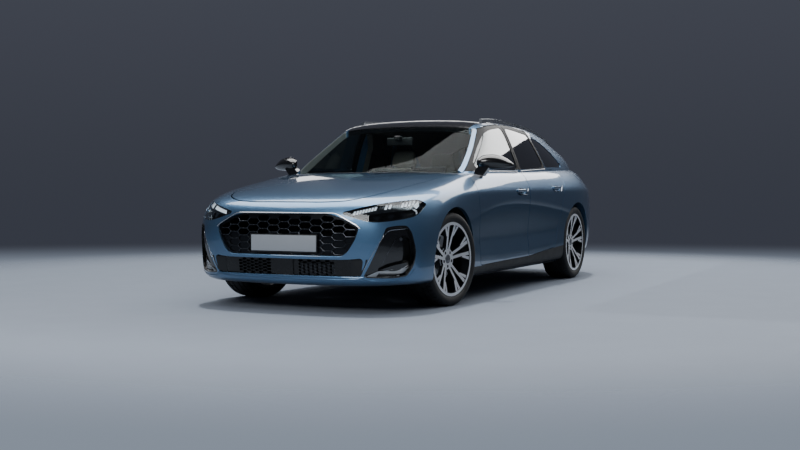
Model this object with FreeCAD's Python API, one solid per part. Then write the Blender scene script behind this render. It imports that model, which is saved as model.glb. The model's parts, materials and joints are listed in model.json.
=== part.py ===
import FreeCAD, Part
import math
import os
from FreeCAD import Matrix, Vector

# Station wagon. +X is forward, +Y the car's left and +Z up, and the origin is on the floor
# under the middle of the car's length. Millimetres. The left half is drawn and mirrored.

# Overall sizes
overall_length = 4829.0
body_width = 1860.0
roof_height = 1444.0
wheelbase = 2900.0
front_overhang = 889.0

# Walls of the body, measured inwards from the outer skin
door_depth = 85.0
pillar_depth = 40.0
roof_depth = 34.0
belt_depth = 60.0
skin_depth = 28.0
bonnet_depth = 26.0
nose_depth = 34.0
tail_depth = 55.0
glass_sink = 4.0
glass_thickness = 5.0
shut_gap = 5.0
between_doors = 8.0
door_rim_depth = 9.0
door_rim_width = 34.0
hatch_rim_depth = 14.0
post_depth = 45.0
pillar_width = 34.0
cowl_gap = 12.0
hinge_height = 70.0
hinge_grip = 10.0
overrun = 60.0
seat_gap = 0.3

# Tyres and rims
tyre_radius = 340.0
tyre_width = 245.0
tyre_rounding = 30.0
bead_radius = 256.0
rim_radius = 268.0
rim_lip = 10.0
rim_inset = 16.0
rim_wall = 9.0
rim_dish = 40.0
hub_face_radius = 74.0
hub_cap_radius = 33.0
hub_cap_depth = 6.0
spoke_thickness = 32.0
twin_spokes = 5
bolt_circle_radius = 54.0
bolt_pocket_radius = 11.0
bolt_pocket_depth = 14.0
tyre_face_y = 906.0

# Brakes, knuckles and arms
disc_radius = 172.0
disc_thickness = 30.0
disc_hat_radius = 84.0
disc_sink = 124.0
hub_radius = 46.0
knuckle_depth = 38.0
knuckle_height = 320.0
knuckle_width = 90.0
caliper_reach = 52.0
caliper_height = 190.0
caliper_wall = 20.0
running_gap = 6.0
steer_angle_at_rest = -7.58
tower_radius = 78.0
buffer_radius = 16.0
buffer_height = 24.0
ball_radius = 16.0
arm_width = 56.0
arm_thickness = 24.0
arm_height = 156.0
arm_inner_y = 330.0
member_length = 260.0
beam_bottom = 270.0
beam_top = 360.0

# Wheel arches
arch_radius = 376.0
liner_radius = 396.0
liner_wall = 6.0
front_liner_inner_y = 466.0
rear_liner_inner_y = 612.0

# Floor, bulkhead and load floor
floor_height = 172.0
floor_thickness = 26.0
load_floor_height = 560.0
bulkhead_thickness = 30.0

# Engine, dashboard and steering wheel
engine_length = 560.0
engine_width = 520.0
engine_height = 440.0
engine_bottom = 236.0
engine_offset = 110.0
engine_corner = 40.0
dash_length = 330.0
dash_top = 930.0
dash_bottom = 640.0
dash_corner = 70.0
steering_wheel_radius = 182.0
steering_rim_radius = 15.0
steering_boss_radius = 62.0
steering_wheel_tilt = 24.0
steering_column_radius = 34.0
grip_sides = 10
column_length = 220.0
steering_drop = 90.0
driver_y = 370.0

# Seats
seat_width = 500.0
bench_width = 1190.0
seat_top = 470.0
cushion_height = 150.0
cushion_length = 520.0
backrest_height = 640.0
backrest_thickness = 120.0
backrest_lean = 24.0
headrest_height = 170.0
headrest_width = 250.0
headrest_depth = 90.0
headrest_gap = 24.0
headrest_post_radius = 7.0
seat_corner = 38.0

half_width = body_width / 2
front_axle_x = overall_length / 2 - front_overhang
rear_axle_x = front_axle_x - wheelbase
rear_overhang = overall_length - front_overhang - wheelbase
knuckle_y = tyre_face_y - disc_sink - disc_thickness - running_gap - knuckle_depth / 2

# Rounding of the outlines
door_corner = 34.0
glass_corner = 46.0
bonnet_corner = 60.0
panel_corner = 22.0
grille_corner = 26.0
lamp_corner = 12.0
curtain_corner = 34.0

# Grille, air curtains, headlamps and rear lamps
grille_sink = 14.0
grille_depth = 40.0
grille_floor = 26.0
grille_margin = 15.0
blind_depth = 9.0
cell_width = 100.0
cell_height = 40.0
cell_pitch_y = 84.0
cell_pitch_z = 49.0
cell_rows = 6
cell_columns = 4
open_rows = 5
mesh_start_y = 112.0
mesh_cell_width = 40.0
mesh_cell_height = 17.0
mesh_pitch_y = 34.0
mesh_pitch_z = 22.0
mesh_rows = 5
mesh_columns = 8
radar_width = 140.0
curtain_rim = 9.0
curtain_step = 16.0
curtain_depth = 62.0
curtain_scoop_depth = 26.0
lamp_lens_thickness = 4.0
lamp_depth = 70.0
lamp_wall = 6.0
lamp_blade_gap = 10.0
projector_radius = 21.0
projector_depth = 34.0
strip_depth = 22.0

# Door handles, mirrors, roof rails and spoiler
handle_length = 216.0
handle_height = 62.0
handle_pocket_depth = 34.0
grip_height = 22.0
grip_depth = 20.0
mirror_length = 262.0
mirror_height = 118.0
mirror_depth = 130.0
mirror_sweep = 84.0
mirror_stalk_length = 62.0
mirror_stalk_corner = 10.0
rail_width = 30.0
rail_height = 22.0
rail_gap = 11.0
rail_foot_length = 90.0
spoiler_reach = 92.0

# Plain shares, numbers and angles in degrees
greenhouse_width_share = 0.72
run_share = 0.46
gentle_turn = 38.0
side_wall_share = 0.56
door_inner_share = 0.653
crumb_share = 0.002
corner_angle = 40.0
bonnet_low_share = 0.46
roof_low_share = 0.80
hatch_station_share = -0.309
hatch_inner_share = 0.50
rear_rim_station_share = 0.36
rear_screen_station_share = -0.33
grille_back_share = 1.60
tail_inner_share = 0.50
knuckle_round_share = 0.72
dash_slope_share = 0.55
dash_end_share = 0.83
column_out_share = 0.35
seat_step_station_share = 0.104
bulkhead_station_share = 0.862
front_seat_station_share = 0.50
rear_seat_station_share = 0.186
mirror_place_shares = (0.772, 1.018, 0.727)
front_handle_shares = (0.520, 0.568)
rear_handle_shares = (0.208, 0.585)
rail_y_share = 0.602
rail_stations_share = (0.536, -0.215)
rail_middle_share = 0.22
spoiler_width_share = 0.53
seat_foot_share = 0.36
hinge_heights_share = (0.28, 0.50)
front_hinge_stations_share = (0.70, 1.00)
rear_hinge_stations_share = (0.420, 0.435)
hatch_hinge_shares = (0.30, 0.37)
leg_shares = (0.42, 0.49)
leg_heights_share = (0.29, 0.34)
tower_share = 0.60
caliper_angle = 46.0
handle_grip_share = 0.42
mirror_glass_share = 0.30

# Half a flattened hexagon is half a cell wide: corners as shares of its width and height
hexagon_shares = [(0.50, 0.0), (0.30, 0.5), (-0.30, 0.5), (-0.50, 0.0), (-0.30, -0.5),
                  (0.30, -0.5)]

# One spoke of a pair and its outer fork, as shares of the rim's radius
spoke_shares = [(0.000, 0.190), (0.012, 0.240), (0.054, 0.560), (0.100, 0.800),
                (0.116, 0.985), (0.226, 0.965), (0.192, 0.780), (0.140, 0.560),
                (0.094, 0.240), (0.090, 0.170)]
fork_shares = [(0.140, 0.640), (0.178, 0.610), (0.350, 0.860), (0.352, 0.940), (0.290, 0.955)]

# Oval sections of the mirror from its inner end to its tip: shares of its length, depth and
# height, and how far the section's middle stands up
mirror_section_shares = [(0.00, 0.52, 0.46, 0.00), (0.10, 0.84, 0.80, 0.02),
                         (0.38, 1.00, 1.00, 0.04), (0.70, 0.86, 0.80, -0.02),
                         (0.90, 0.54, 0.44, -0.12), (1.00, 0.20, 0.14, -0.17)]

# Front view outline of the mirror's stalk
mirror_stalk_outline_shares = [(0.845, 0.650), (0.930, 0.654), (0.990, 0.705), (0.905, 0.716),
                               (0.862, 0.690)]

# Side view outline of the spoiler, and of the roof rail's feet
spoiler_outline_shares = [(-0.300, 0.960), (-0.640, 0.940), (-0.640, 0.884), (-0.580, 0.878),
                          (-0.300, 0.898)]

# Control net of the lower body: lines round the car from the middle of its nose to the
# middle of its tail. Each place is station, half width share and height share.
lower_body_shares = [
    # Bottom, middle line
    [(1.818, 0.000, 0.121), (1.761, 0.000, 0.118), (1.649, 0.000, 0.114), (1.513, 0.000, 0.114),
     (1.366, 0.000, 0.114), (1.197, 0.000, 0.114), (1.000, 0.000, 0.114), (0.871, 0.000, 0.114),
     (0.733, 0.000, 0.114), (0.560, 0.000, 0.114), (0.371, 0.000, 0.114), (0.198, 0.000, 0.114),
     (-0.000, 0.000, 0.114), (-0.263, 0.000, 0.121), (-0.453, 0.000, 0.132), (-0.596, 0.000, 0.142),
     (-0.711, 0.000, 0.152), (-0.787, 0.000, 0.159), (-0.834, 0.000, 0.163)],
    # Bottom, outer line
    [(1.841, 0.000, 0.118), (1.829, 0.225, 0.118), (1.795, 0.450, 0.116), (1.705, 0.642, 0.114),
     (1.536, 0.771, 0.114), (1.332, 0.835, 0.114), (1.000, 0.846, 0.114), (0.871, 0.835, 0.111),
     (0.733, 0.830, 0.111), (0.560, 0.824, 0.111), (0.371, 0.824, 0.111), (0.198, 0.830, 0.111),
     (-0.000, 0.846, 0.114), (-0.263, 0.835, 0.121), (-0.482, 0.771, 0.132), (-0.672, 0.632, 0.142),
     (-0.787, 0.439, 0.152), (-0.830, 0.225, 0.159), (-0.844, 0.000, 0.163)],
    # Tuck under the bumpers and sills
    [(1.956, 0.000, 0.126), (1.953, 0.241, 0.126), (1.931, 0.498, 0.126), (1.841, 0.754, 0.127),
     (1.646, 0.908, 0.130), (1.366, 0.952, 0.133), (1.000, 0.953, 0.135), (0.871, 0.942, 0.135),
     (0.733, 0.929, 0.135), (0.560, 0.925, 0.135), (0.371, 0.927, 0.135), (0.198, 0.937, 0.137),
     (-0.000, 0.953, 0.142), (-0.310, 0.942, 0.156), (-0.606, 0.878, 0.170), (-0.820, 0.728, 0.181),
     (-0.916, 0.493, 0.190), (-0.941, 0.241, 0.195), (-0.947, 0.000, 0.197)],
    # Lower lip
    [(1.982, 0.000, 0.156), (1.979, 0.244, 0.156), (1.958, 0.505, 0.156), (1.879, 0.777, 0.157),
     (1.681, 0.937, 0.158), (1.387, 0.975, 0.159), (1.000, 0.976, 0.161), (0.871, 0.967, 0.161),
     (0.733, 0.953, 0.161), (0.560, 0.946, 0.161), (0.371, 0.949, 0.162), (0.198, 0.959, 0.165),
     (-0.000, 0.976, 0.170), (-0.334, 0.967, 0.181), (-0.639, 0.891, 0.197), (-0.854, 0.737, 0.211),
     (-0.947, 0.499, 0.220), (-0.970, 0.244, 0.225), (-0.976, 0.000, 0.226)],
    # Lower door crease
    [(1.996, 0.000, 0.232), (1.994, 0.248, 0.232), (1.976, 0.514, 0.232), (1.907, 0.792, 0.233),
     (1.705, 0.957, 0.234), (1.398, 0.991, 0.235), (1.000, 0.990, 0.235), (0.871, 0.974, 0.236),
     (0.733, 0.959, 0.237), (0.560, 0.955, 0.237), (0.371, 0.961, 0.240), (0.198, 0.976, 0.246),
     (-0.000, 0.996, 0.252), (-0.353, 0.981, 0.263), (-0.668, 0.906, 0.277), (-0.882, 0.747, 0.285),
     (-0.970, 0.503, 0.291), (-0.991, 0.246, 0.294), (-0.995, 0.000, 0.294)],
    # Widest line of the doors
    [(2.005, 0.000, 0.325), (2.003, 0.249, 0.325), (1.985, 0.518, 0.325), (1.917, 0.794, 0.327),
     (1.712, 0.962, 0.328), (1.402, 0.999, 0.330), (1.000, 0.996, 0.331), (0.871, 0.964, 0.322),
     (0.733, 0.941, 0.315), (0.560, 0.932, 0.312), (0.371, 0.937, 0.316), (0.198, 0.958, 0.324),
     (-0.000, 0.996, 0.336), (-0.363, 0.989, 0.357), (-0.682, 0.914, 0.367), (-0.894, 0.754, 0.373),
     (-0.979, 0.507, 0.375), (-0.998, 0.248, 0.377), (-1.002, 0.000, 0.378)],
    # Door middle
    [(2.008, 0.000, 0.416), (2.005, 0.248, 0.416), (1.985, 0.516, 0.416), (1.909, 0.784, 0.417),
     (1.701, 0.950, 0.419), (1.400, 0.996, 0.421), (1.000, 0.999, 0.422), (0.871, 0.979, 0.422),
     (0.733, 0.966, 0.421), (0.560, 0.961, 0.421), (0.371, 0.966, 0.422), (0.198, 0.981, 0.425),
     (-0.000, 1.006, 0.429), (-0.363, 0.994, 0.440), (-0.680, 0.916, 0.447), (-0.890, 0.752, 0.450),
     (-0.974, 0.505, 0.452), (-0.993, 0.248, 0.453), (-0.997, 0.000, 0.454)],
    # Waist
    [(1.987, 0.000, 0.485), (1.985, 0.244, 0.485), (1.965, 0.507, 0.485), (1.880, 0.758, 0.488),
     (1.670, 0.923, 0.493), (1.387, 0.982, 0.500), (1.000, 0.990, 0.530), (0.871, 0.980, 0.543),
     (0.733, 0.977, 0.547), (0.560, 0.976, 0.547), (0.371, 0.979, 0.547), (0.198, 0.989, 0.548),
     (-0.000, 1.009, 0.551), (-0.358, 0.985, 0.556), (-0.663, 0.906, 0.557), (-0.863, 0.741, 0.557),
     (-0.949, 0.501, 0.557), (-0.970, 0.246, 0.557), (-0.976, 0.000, 0.557)],
    # Shoulder crease
    [(1.936, 0.000, 0.530), (1.934, 0.238, 0.530), (1.911, 0.495, 0.531), (1.818, 0.728, 0.535),
     (1.609, 0.880, 0.544), (1.349, 0.948, 0.557), (0.995, 0.978, 0.572), (0.869, 0.977, 0.577),
     (0.733, 0.976, 0.578), (0.560, 0.976, 0.578), (0.371, 0.978, 0.578), (0.198, 0.987, 0.580),
     (-0.000, 1.006, 0.583), (-0.344, 0.978, 0.587), (-0.639, 0.894, 0.590), (-0.839, 0.724, 0.593),
     (-0.928, 0.493, 0.593), (-0.951, 0.242, 0.593), (-0.956, 0.000, 0.593)],
    # Crown above the shoulder
    [(1.790, 0.000, 0.564), (1.786, 0.219, 0.564), (1.756, 0.455, 0.566), (1.660, 0.653, 0.571),
     (1.451, 0.798, 0.583), (1.220, 0.880, 0.597), (0.964, 0.935, 0.606), (0.857, 0.950, 0.607),
     (0.733, 0.956, 0.608), (0.560, 0.957, 0.608), (0.371, 0.959, 0.609), (0.198, 0.967, 0.611),
     (-0.000, 0.984, 0.615), (-0.325, 0.949, 0.619), (-0.606, 0.860, 0.622), (-0.811, 0.701, 0.624),
     (-0.906, 0.482, 0.625), (-0.932, 0.238, 0.625), (-0.937, 0.000, 0.625)],
    # Bonnet sides and rear crown
    [(1.310, 0.000, 0.622), (1.305, 0.203, 0.622), (1.276, 0.412, 0.622), (1.186, 0.584, 0.623),
     (1.016, 0.717, 0.629), (0.953, 0.814, 0.637), (0.893, 0.876, 0.644), (0.826, 0.912, 0.648),
     (0.729, 0.925, 0.648), (0.560, 0.928, 0.650), (0.371, 0.928, 0.653), (0.198, 0.932, 0.657),
     (-0.000, 0.938, 0.664), (-0.301, 0.900, 0.670), (-0.572, 0.818, 0.673), (-0.777, 0.667, 0.681),
     (-0.877, 0.463, 0.681), (-0.906, 0.231, 0.681), (-0.913, 0.000, 0.681)],
    # Belt line
    [(0.893, 0.000, 0.682), (0.892, 0.214, 0.682), (0.884, 0.428, 0.681), (0.869, 0.610, 0.680),
     (0.850, 0.739, 0.679), (0.829, 0.805, 0.677), (0.805, 0.840, 0.676), (0.774, 0.862, 0.676),
     (0.712, 0.876, 0.679), (0.560, 0.876, 0.687), (0.371, 0.869, 0.695), (0.198, 0.861, 0.704),
     (-0.000, 0.842, 0.716), (-0.272, 0.805, 0.723), (-0.520, 0.737, 0.726), (-0.720, 0.617, 0.726),
     (-0.825, 0.428, 0.724), (-0.858, 0.219, 0.723), (-0.865, 0.000, 0.723)],
    # Shelf inside the belt
    [(0.853, 0.000, 0.675), (0.852, 0.193, 0.675), (0.843, 0.385, 0.675), (0.827, 0.557, 0.673),
     (0.808, 0.664, 0.672), (0.789, 0.717, 0.670), (0.771, 0.749, 0.669), (0.743, 0.766, 0.669),
     (0.681, 0.773, 0.672), (0.543, 0.773, 0.679), (0.371, 0.767, 0.686), (0.198, 0.758, 0.693),
     (-0.000, 0.739, 0.703), (-0.215, 0.703, 0.708), (-0.425, 0.636, 0.710), (-0.606, 0.523, 0.710),
     (-0.701, 0.364, 0.708), (-0.734, 0.182, 0.708), (-0.741, 0.000, 0.708)],
    # Top, middle line
    [(0.819, 0.000, 0.668), (0.805, 0.000, 0.668), (0.791, 0.000, 0.668), (0.777, 0.000, 0.668),
     (0.764, 0.000, 0.668), (0.750, 0.000, 0.668), (0.733, 0.000, 0.668), (0.698, 0.000, 0.668),
     (0.629, 0.000, 0.670), (0.508, 0.000, 0.675), (0.353, 0.000, 0.682), (0.198, 0.000, 0.687),
     (0.026, 0.000, 0.696), (-0.120, 0.000, 0.699), (-0.310, 0.000, 0.701), (-0.453, 0.000, 0.701),
     (-0.529, 0.000, 0.701), (-0.577, 0.000, 0.701), (-0.596, 0.000, 0.701)],
]

# Control net of the greenhouse, in the same way
greenhouse_shares = [
    # Foot, middle line
    [(0.881, 0.000, 0.512), (0.853, 0.000, 0.512), (0.819, 0.000, 0.512), (0.784, 0.000, 0.512),
     (0.750, 0.000, 0.512), (0.698, 0.000, 0.512), (0.595, 0.000, 0.512), (0.474, 0.000, 0.512),
     (0.302, 0.000, 0.512), (0.129, 0.000, 0.519), (-0.072, 0.000, 0.526), (-0.358, 0.000, 0.533),
     (-0.549, 0.000, 0.537), (-0.672, 0.000, 0.540), (-0.768, 0.000, 0.540)],
    # Foot inside the lower body
    [(0.933, 0.000, 0.596), (0.931, 0.289, 0.594), (0.921, 0.557, 0.592), (0.893, 0.755, 0.590),
     (0.852, 0.863, 0.589), (0.795, 0.893, 0.589), (0.646, 0.899, 0.589), (0.491, 0.897, 0.592),
     (0.319, 0.893, 0.596), (0.146, 0.884, 0.602), (-0.024, 0.865, 0.613), (-0.358, 0.824, 0.620),
     (-0.653, 0.749, 0.623), (-0.854, 0.514, 0.623), (-0.949, 0.000, 0.623)],
    # Belt
    [(0.881, 0.000, 0.675), (0.879, 0.281, 0.674), (0.871, 0.541, 0.672), (0.848, 0.739, 0.670),
     (0.814, 0.848, 0.667), (0.764, 0.873, 0.667), (0.636, 0.875, 0.675), (0.491, 0.872, 0.682),
     (0.319, 0.866, 0.691), (0.146, 0.857, 0.701), (-0.024, 0.835, 0.712), (-0.348, 0.792, 0.720),
     (-0.625, 0.701, 0.722), (-0.792, 0.428, 0.720), (-0.849, 0.000, 0.719)],
    # Lower glass
    [(0.786, 0.000, 0.783), (0.785, 0.262, 0.781), (0.777, 0.509, 0.778), (0.759, 0.691, 0.774),
     (0.728, 0.801, 0.770), (0.684, 0.824, 0.767), (0.577, 0.829, 0.770), (0.474, 0.829, 0.774),
     (0.319, 0.825, 0.778), (0.146, 0.816, 0.783), (-0.015, 0.794, 0.786), (-0.320, 0.749, 0.783),
     (-0.558, 0.655, 0.783), (-0.687, 0.407, 0.784), (-0.734, 0.000, 0.784)],
    # Middle glass
    [(0.703, 0.000, 0.874), (0.703, 0.246, 0.873), (0.696, 0.476, 0.868), (0.681, 0.653, 0.863),
     (0.655, 0.758, 0.857), (0.617, 0.775, 0.856), (0.543, 0.775, 0.860), (0.457, 0.775, 0.866),
     (0.319, 0.772, 0.867), (0.153, 0.760, 0.861), (0.015, 0.737, 0.845), (-0.215, 0.696, 0.831),
     (-0.439, 0.608, 0.834), (-0.572, 0.380, 0.841), (-0.615, 0.000, 0.842)],
    # Upper glass
    [(0.638, 0.000, 0.943), (0.637, 0.233, 0.943), (0.633, 0.450, 0.939), (0.623, 0.615, 0.933),
     (0.604, 0.711, 0.927), (0.569, 0.724, 0.927), (0.505, 0.724, 0.936), (0.433, 0.724, 0.943),
     (0.319, 0.719, 0.940), (0.164, 0.707, 0.925), (0.036, 0.681, 0.895), (-0.139, 0.640, 0.869),
     (-0.348, 0.557, 0.874), (-0.482, 0.353, 0.884), (-0.525, 0.000, 0.886)],
    # Cant rail
    [(0.602, 0.000, 0.975), (0.601, 0.214, 0.974), (0.597, 0.412, 0.971), (0.588, 0.557, 0.967),
     (0.572, 0.647, 0.963), (0.541, 0.666, 0.963), (0.488, 0.672, 0.971), (0.419, 0.673, 0.975),
     (0.315, 0.670, 0.972), (0.171, 0.657, 0.957), (0.053, 0.632, 0.931), (-0.072, 0.591, 0.909),
     (-0.263, 0.510, 0.909), (-0.396, 0.321, 0.913), (-0.444, 0.000, 0.914)],
    # Roof crown
    [(0.536, 0.000, 0.994), (0.536, 0.139, 0.994), (0.533, 0.268, 0.992), (0.527, 0.364, 0.990),
     (0.515, 0.428, 0.989), (0.495, 0.450, 0.989), (0.457, 0.458, 0.992), (0.405, 0.460, 0.993),
     (0.315, 0.458, 0.991), (0.191, 0.450, 0.982), (0.102, 0.433, 0.968), (0.036, 0.396, 0.953),
     (-0.053, 0.332, 0.943), (-0.177, 0.203, 0.935), (-0.224, 0.000, 0.934)],
    # Roof, middle line
    [(0.453, 0.000, 1.000), (0.450, 0.000, 1.000), (0.445, 0.000, 1.000), (0.438, 0.000, 1.000),
     (0.429, 0.000, 1.000), (0.417, 0.000, 1.000), (0.402, 0.000, 1.000), (0.374, 0.000, 0.999),
     (0.319, 0.000, 0.998), (0.253, 0.000, 0.995), (0.198, 0.000, 0.991), (0.157, 0.000, 0.987),
     (0.122, 0.000, 0.982), (0.095, 0.000, 0.978), (0.077, 0.000, 0.975)],
]

# Side view outlines, station and height share
front_door_outline_shares = [
    (0.819, 0.183), (0.835, 0.471), (0.848, 0.589), (0.844, 0.651), (0.805, 0.698),
    (0.715, 0.814), (0.663, 0.878), (0.621, 0.924), (0.560, 0.945), (0.458, 0.964),
    (0.444, 0.682), (0.4455, 0.589), (0.4455, 0.478), (0.436, 0.191),
]
rear_door_outline_shares = [
    (0.436, 0.191), (0.4455, 0.478), (0.4455, 0.589), (0.444, 0.682), (0.458, 0.964),
    (0.388, 0.961), (0.248, 0.938), (0.198, 0.724), (0.196, 0.708), (0.125, 0.708),
    (0.112, 0.675), (0.113, 0.636), (0.143, 0.548), (0.166, 0.416), (0.211, 0.223),
]
front_glass_outline_shares = [
    (0.788, 0.686), (0.712, 0.789), (0.657, 0.853), (0.614, 0.900), (0.557, 0.927),
    (0.470, 0.944), (0.453, 0.694),
]
rear_glass_outline_shares = [
    (0.447, 0.944), (0.391, 0.940), (0.257, 0.918), (0.206, 0.717), (0.428, 0.697),
]
quarter_glass_outline_shares = [
    (0.242, 0.916), (0.188, 0.898), (0.134, 0.870), (0.081, 0.825), (0.037, 0.776),
    (-0.017, 0.727), (0.191, 0.717),
]
tail_lamp_outline_shares = [
    (-0.558, 0.612), (-0.711, 0.629), (-1.092, 0.634), (-1.092, 0.580), (-0.749, 0.576),
]
fender_outline_shares = [
    (0.784, 0.179), (0.784, 0.589), (0.819, 0.665), (0.819, 0.762), (1.599, 0.762),
    (1.599, 0.463), (1.000, 0.463), (1.000, 0.179),
]
nose_outline_shares = [
    (1.000, 0.069), (1.000, 0.463), (1.599, 0.463), (1.599, 0.762), (2.200, 0.762),
    (2.200, 0.069),
]
sill_trim_outline_shares = [
    (0.905, 0.069), (0.905, 0.179), (0.819, 0.180), (0.436, 0.188), (0.211, 0.219),
    (0.115, 0.230), (0.115, 0.069),
]
rear_bumper_outline_shares = [
    (0.000, 0.100), (0.000, 0.405), (-0.271, 0.405), (-0.557, 0.457), (-0.700, 0.511),
    (-1.165, 0.511), (-1.165, 0.069),
]
post_outline_shares = [
    (0.419, 0.132), (0.453, 0.132), (0.467, 0.478), (0.457, 0.682), (0.477, 0.983),
    (0.440, 0.983), (0.423, 0.682), (0.433, 0.478),
]

# Plan outlines, station and half width share
bonnet_outline_shares = [
    (1.925, 0.000), (1.917, 0.289), (1.881, 0.482), (1.773, 0.605), (1.547, 0.685),
    (1.197, 0.730), (0.933, 0.769), (0.826, 0.801), (0.845, 0.707), (0.871, 0.578),
    (0.889, 0.407), (0.901, 0.193), (0.903, 0.000),
]
windshield_outline_shares = [
    (0.957, 0.000), (0.957, 0.642), (0.829, 0.777), (0.715, 0.715), (0.621, 0.634),
    (0.626, 0.578), (0.633, 0.321), (0.636, 0.000),
]
roof_outline_shares = [
    (0.650, 0.000), (0.650, 0.576), (0.621, 0.606), (0.508, 0.625),
    (0.371, 0.625), (0.198, 0.606), (0.060, 0.567), (-0.120, 0.531), (-0.305, 0.522),
    (-0.305, 0.000),
]
cowl_outline_shares = [
    (0.950, 0.000), (0.940, 0.330), (0.915, 0.550), (0.875, 0.720), (0.832, 0.790),
    (0.800, 0.765), (0.800, 0.000),
]

# Front and rear view outlines, half width share and height share
grille_outline_shares = [
    (0.000, 0.471), (0.420, 0.471), (0.610, 0.407), (0.587, 0.353), (0.525, 0.291),
    (0.471, 0.269), (0.000, 0.269),
]
lower_intake_outline_shares = [
    (0.000, 0.256), (0.503, 0.256), (0.642, 0.265), (0.616, 0.177), (0.000, 0.177),
]
tailgate_outline_shares = [
    (0.000, 0.517), (0.666, 0.517), (0.672, 0.596), (0.650, 0.699), (0.625, 0.824),
    (0.615, 0.859), (0.610, 1.039), (0.000, 1.039),
]
rear_glass_hatch_shares = [
    (0.000, 0.747), (0.535, 0.751), (0.584, 0.760), (0.495, 0.863), (0.450, 0.874),
    (0.000, 0.880),
]
diffuser_outline_shares = [
    (0.000, 0.235), (0.480, 0.235), (0.640, 0.180), (0.640, 0.100), (0.000, 0.100),
]

# Outlines seen square to the front corner, share of the front overhang and height share
headlamp_outline_shares = [
    (-1.063, 0.473), (-0.851, 0.508), (-0.629, 0.528), (-0.424, 0.537), (-0.352, 0.514),
    (-0.458, 0.459), (-0.632, 0.439), (-0.822, 0.429), (-0.907, 0.440),
]
lamp_blade_outline_shares = [
    (-1.063, 0.473), (-0.851, 0.508), (-0.629, 0.528), (-0.424, 0.537), (-0.352, 0.514),
    (-0.400, 0.492), (-0.500, 0.490), (-0.960, 0.458),
]
projector_shares = [(-0.560, 0.467), (-0.670, 0.462), (-0.780, 0.457)]
curtain_pocket_outline_shares = [
    (-0.800, 0.192), (-0.640, 0.366), (-0.560, 0.370), (-0.530, 0.345), (-0.510, 0.290),
    (-0.520, 0.225), (-0.560, 0.192),
]
curtain_scoop_outline_shares = [
    (-0.840, 0.180), (-0.700, 0.226), (-0.500, 0.246), (-0.500, 0.180),
]
air_curtain_outline_shares = [
    (-0.889, 0.177), (-0.831, 0.258), (-0.728, 0.407), (-0.653, 0.416), (-0.559, 0.416),
    (-0.518, 0.386), (-0.478, 0.295), (-0.497, 0.226), (-0.555, 0.179), (-0.647, 0.169),
    (-0.856, 0.171),
]


def station_x(station):
    """X of a station: 0 at the rear axle, 1 at the front one, 2 and -1 at the bumpers."""
    if station >= 1:
        return front_axle_x + (station - 1) * front_overhang
    if station >= 0:
        return rear_axle_x + station * wheelbase
    return rear_axle_x + station * rear_overhang


def knot_counts(poles):
    """How often each knot of a cubic clamped spline counts."""
    return [4] + [1] * (poles - 4) + [4]


def knot_values(poles):
    """Evenly spaced knots."""
    return [float(k) for k in range(poles - 2)]


def body_form(shares, reach, side, end, drop):
    """Solid left half inside a control net. side, end and drop move its walls inwards."""
    across = 1 - side / reach
    along = 1 - end / (overall_length / 2)
    net = [[Vector(station_x(s) * along, half_width * w * across, roof_height * h - drop)
            for s, w, h in ring] for ring in shares]
    surface = Part.BSplineSurface()
    surface.buildFromPolesMultsKnots(
        net, knot_counts(len(net)), knot_counts(len(net[0])),
        knot_values(len(net)), knot_values(len(net[0])), False, False, 3, 3)
    skin = surface.toShape()
    middle_wall = Part.Face(Part.Wire(Part.__sortEdges__(skin.Edges)))
    solid = Part.makeSolid(Part.makeShell([skin, middle_wall]))
    if solid.Volume < 0:
        solid.reverse()
    return solid


def lower_form(side=0, end=0, drop=0):
    return body_form(lower_body_shares, half_width, side, end, drop)


def upper_form(side=0, end=0, drop=0):
    return body_form(greenhouse_shares, half_width * greenhouse_width_share, side, end, drop)


def rounded_face(corners, radius):
    """Closed outline of straight runs joined by arcs: wide ones where it bends gently."""
    joins = []
    for k, here in enumerate(corners):
        back = corners[k - 1] - here
        ahead = corners[(k + 1) % len(corners)] - here
        room = run_share * min(back.Length, ahead.Length)
        between = back.getAngle(ahead)
        half_angle = between / 2
        if math.degrees(math.pi - between) < gentle_turn:
            cut = room
        else:
            cut = min(radius / math.tan(half_angle), room)
        arc_radius = cut * math.tan(half_angle)
        back.normalize()
        ahead.normalize()
        bisector = back + ahead
        bisector.normalize()
        nearest = arc_radius / math.sin(half_angle) - arc_radius
        joins.append((here + back * cut, here + bisector * nearest, here + ahead * cut))
    edges = []
    for k, (start, middle, end) in enumerate(joins):
        edges.append(Part.Arc(start, middle, end).toShape())
        next_start = joins[(k + 1) % len(joins)][0]
        edges.append(Part.LineSegment(end, next_start).toShape())
    return Part.Face(Part.Wire(edges))


def prism(face, direction, low, high, widen=0):
    """Straight body over a flat outline, from low to high along direction."""
    if widen:
        face = Part.Face(face.OuterWire.makeOffset2D(widen))
    face.translate(direction * low)
    return face.extrude(direction * (high - low))


def side_prism(shares, radius, widen=0, low=None):
    """Body over an outline in the side view, through the car's left side wall."""
    corners = [Vector(station_x(s), 0, roof_height * h) for s, h in shares]
    start = half_width * door_inner_share if low is None else low
    return prism(rounded_face(corners, radius), Vector(0, 1, 0), start, body_width, widen)


def past_middle(share):
    """A place in the middle plane moves past it, so that no corner is rounded there."""
    return half_width * share if share else -overrun


def plan_prism(shares, radius, low, high, widen=0):
    """Upright body over an outline in the plan view."""
    corners = [Vector(station_x(s), past_middle(w), 0) for s, w in shares]
    return prism(rounded_face(corners, radius), Vector(0, 0, 1), low, high, widen)


def front_prism(shares, radius, low, high, widen=0):
    """Body along the car over an outline in the front or rear view."""
    corners = [Vector(0, past_middle(w), roof_height * h) for w, h in shares]
    return prism(rounded_face(corners, radius), Vector(1, 0, 0), low, high, widen)


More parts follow.
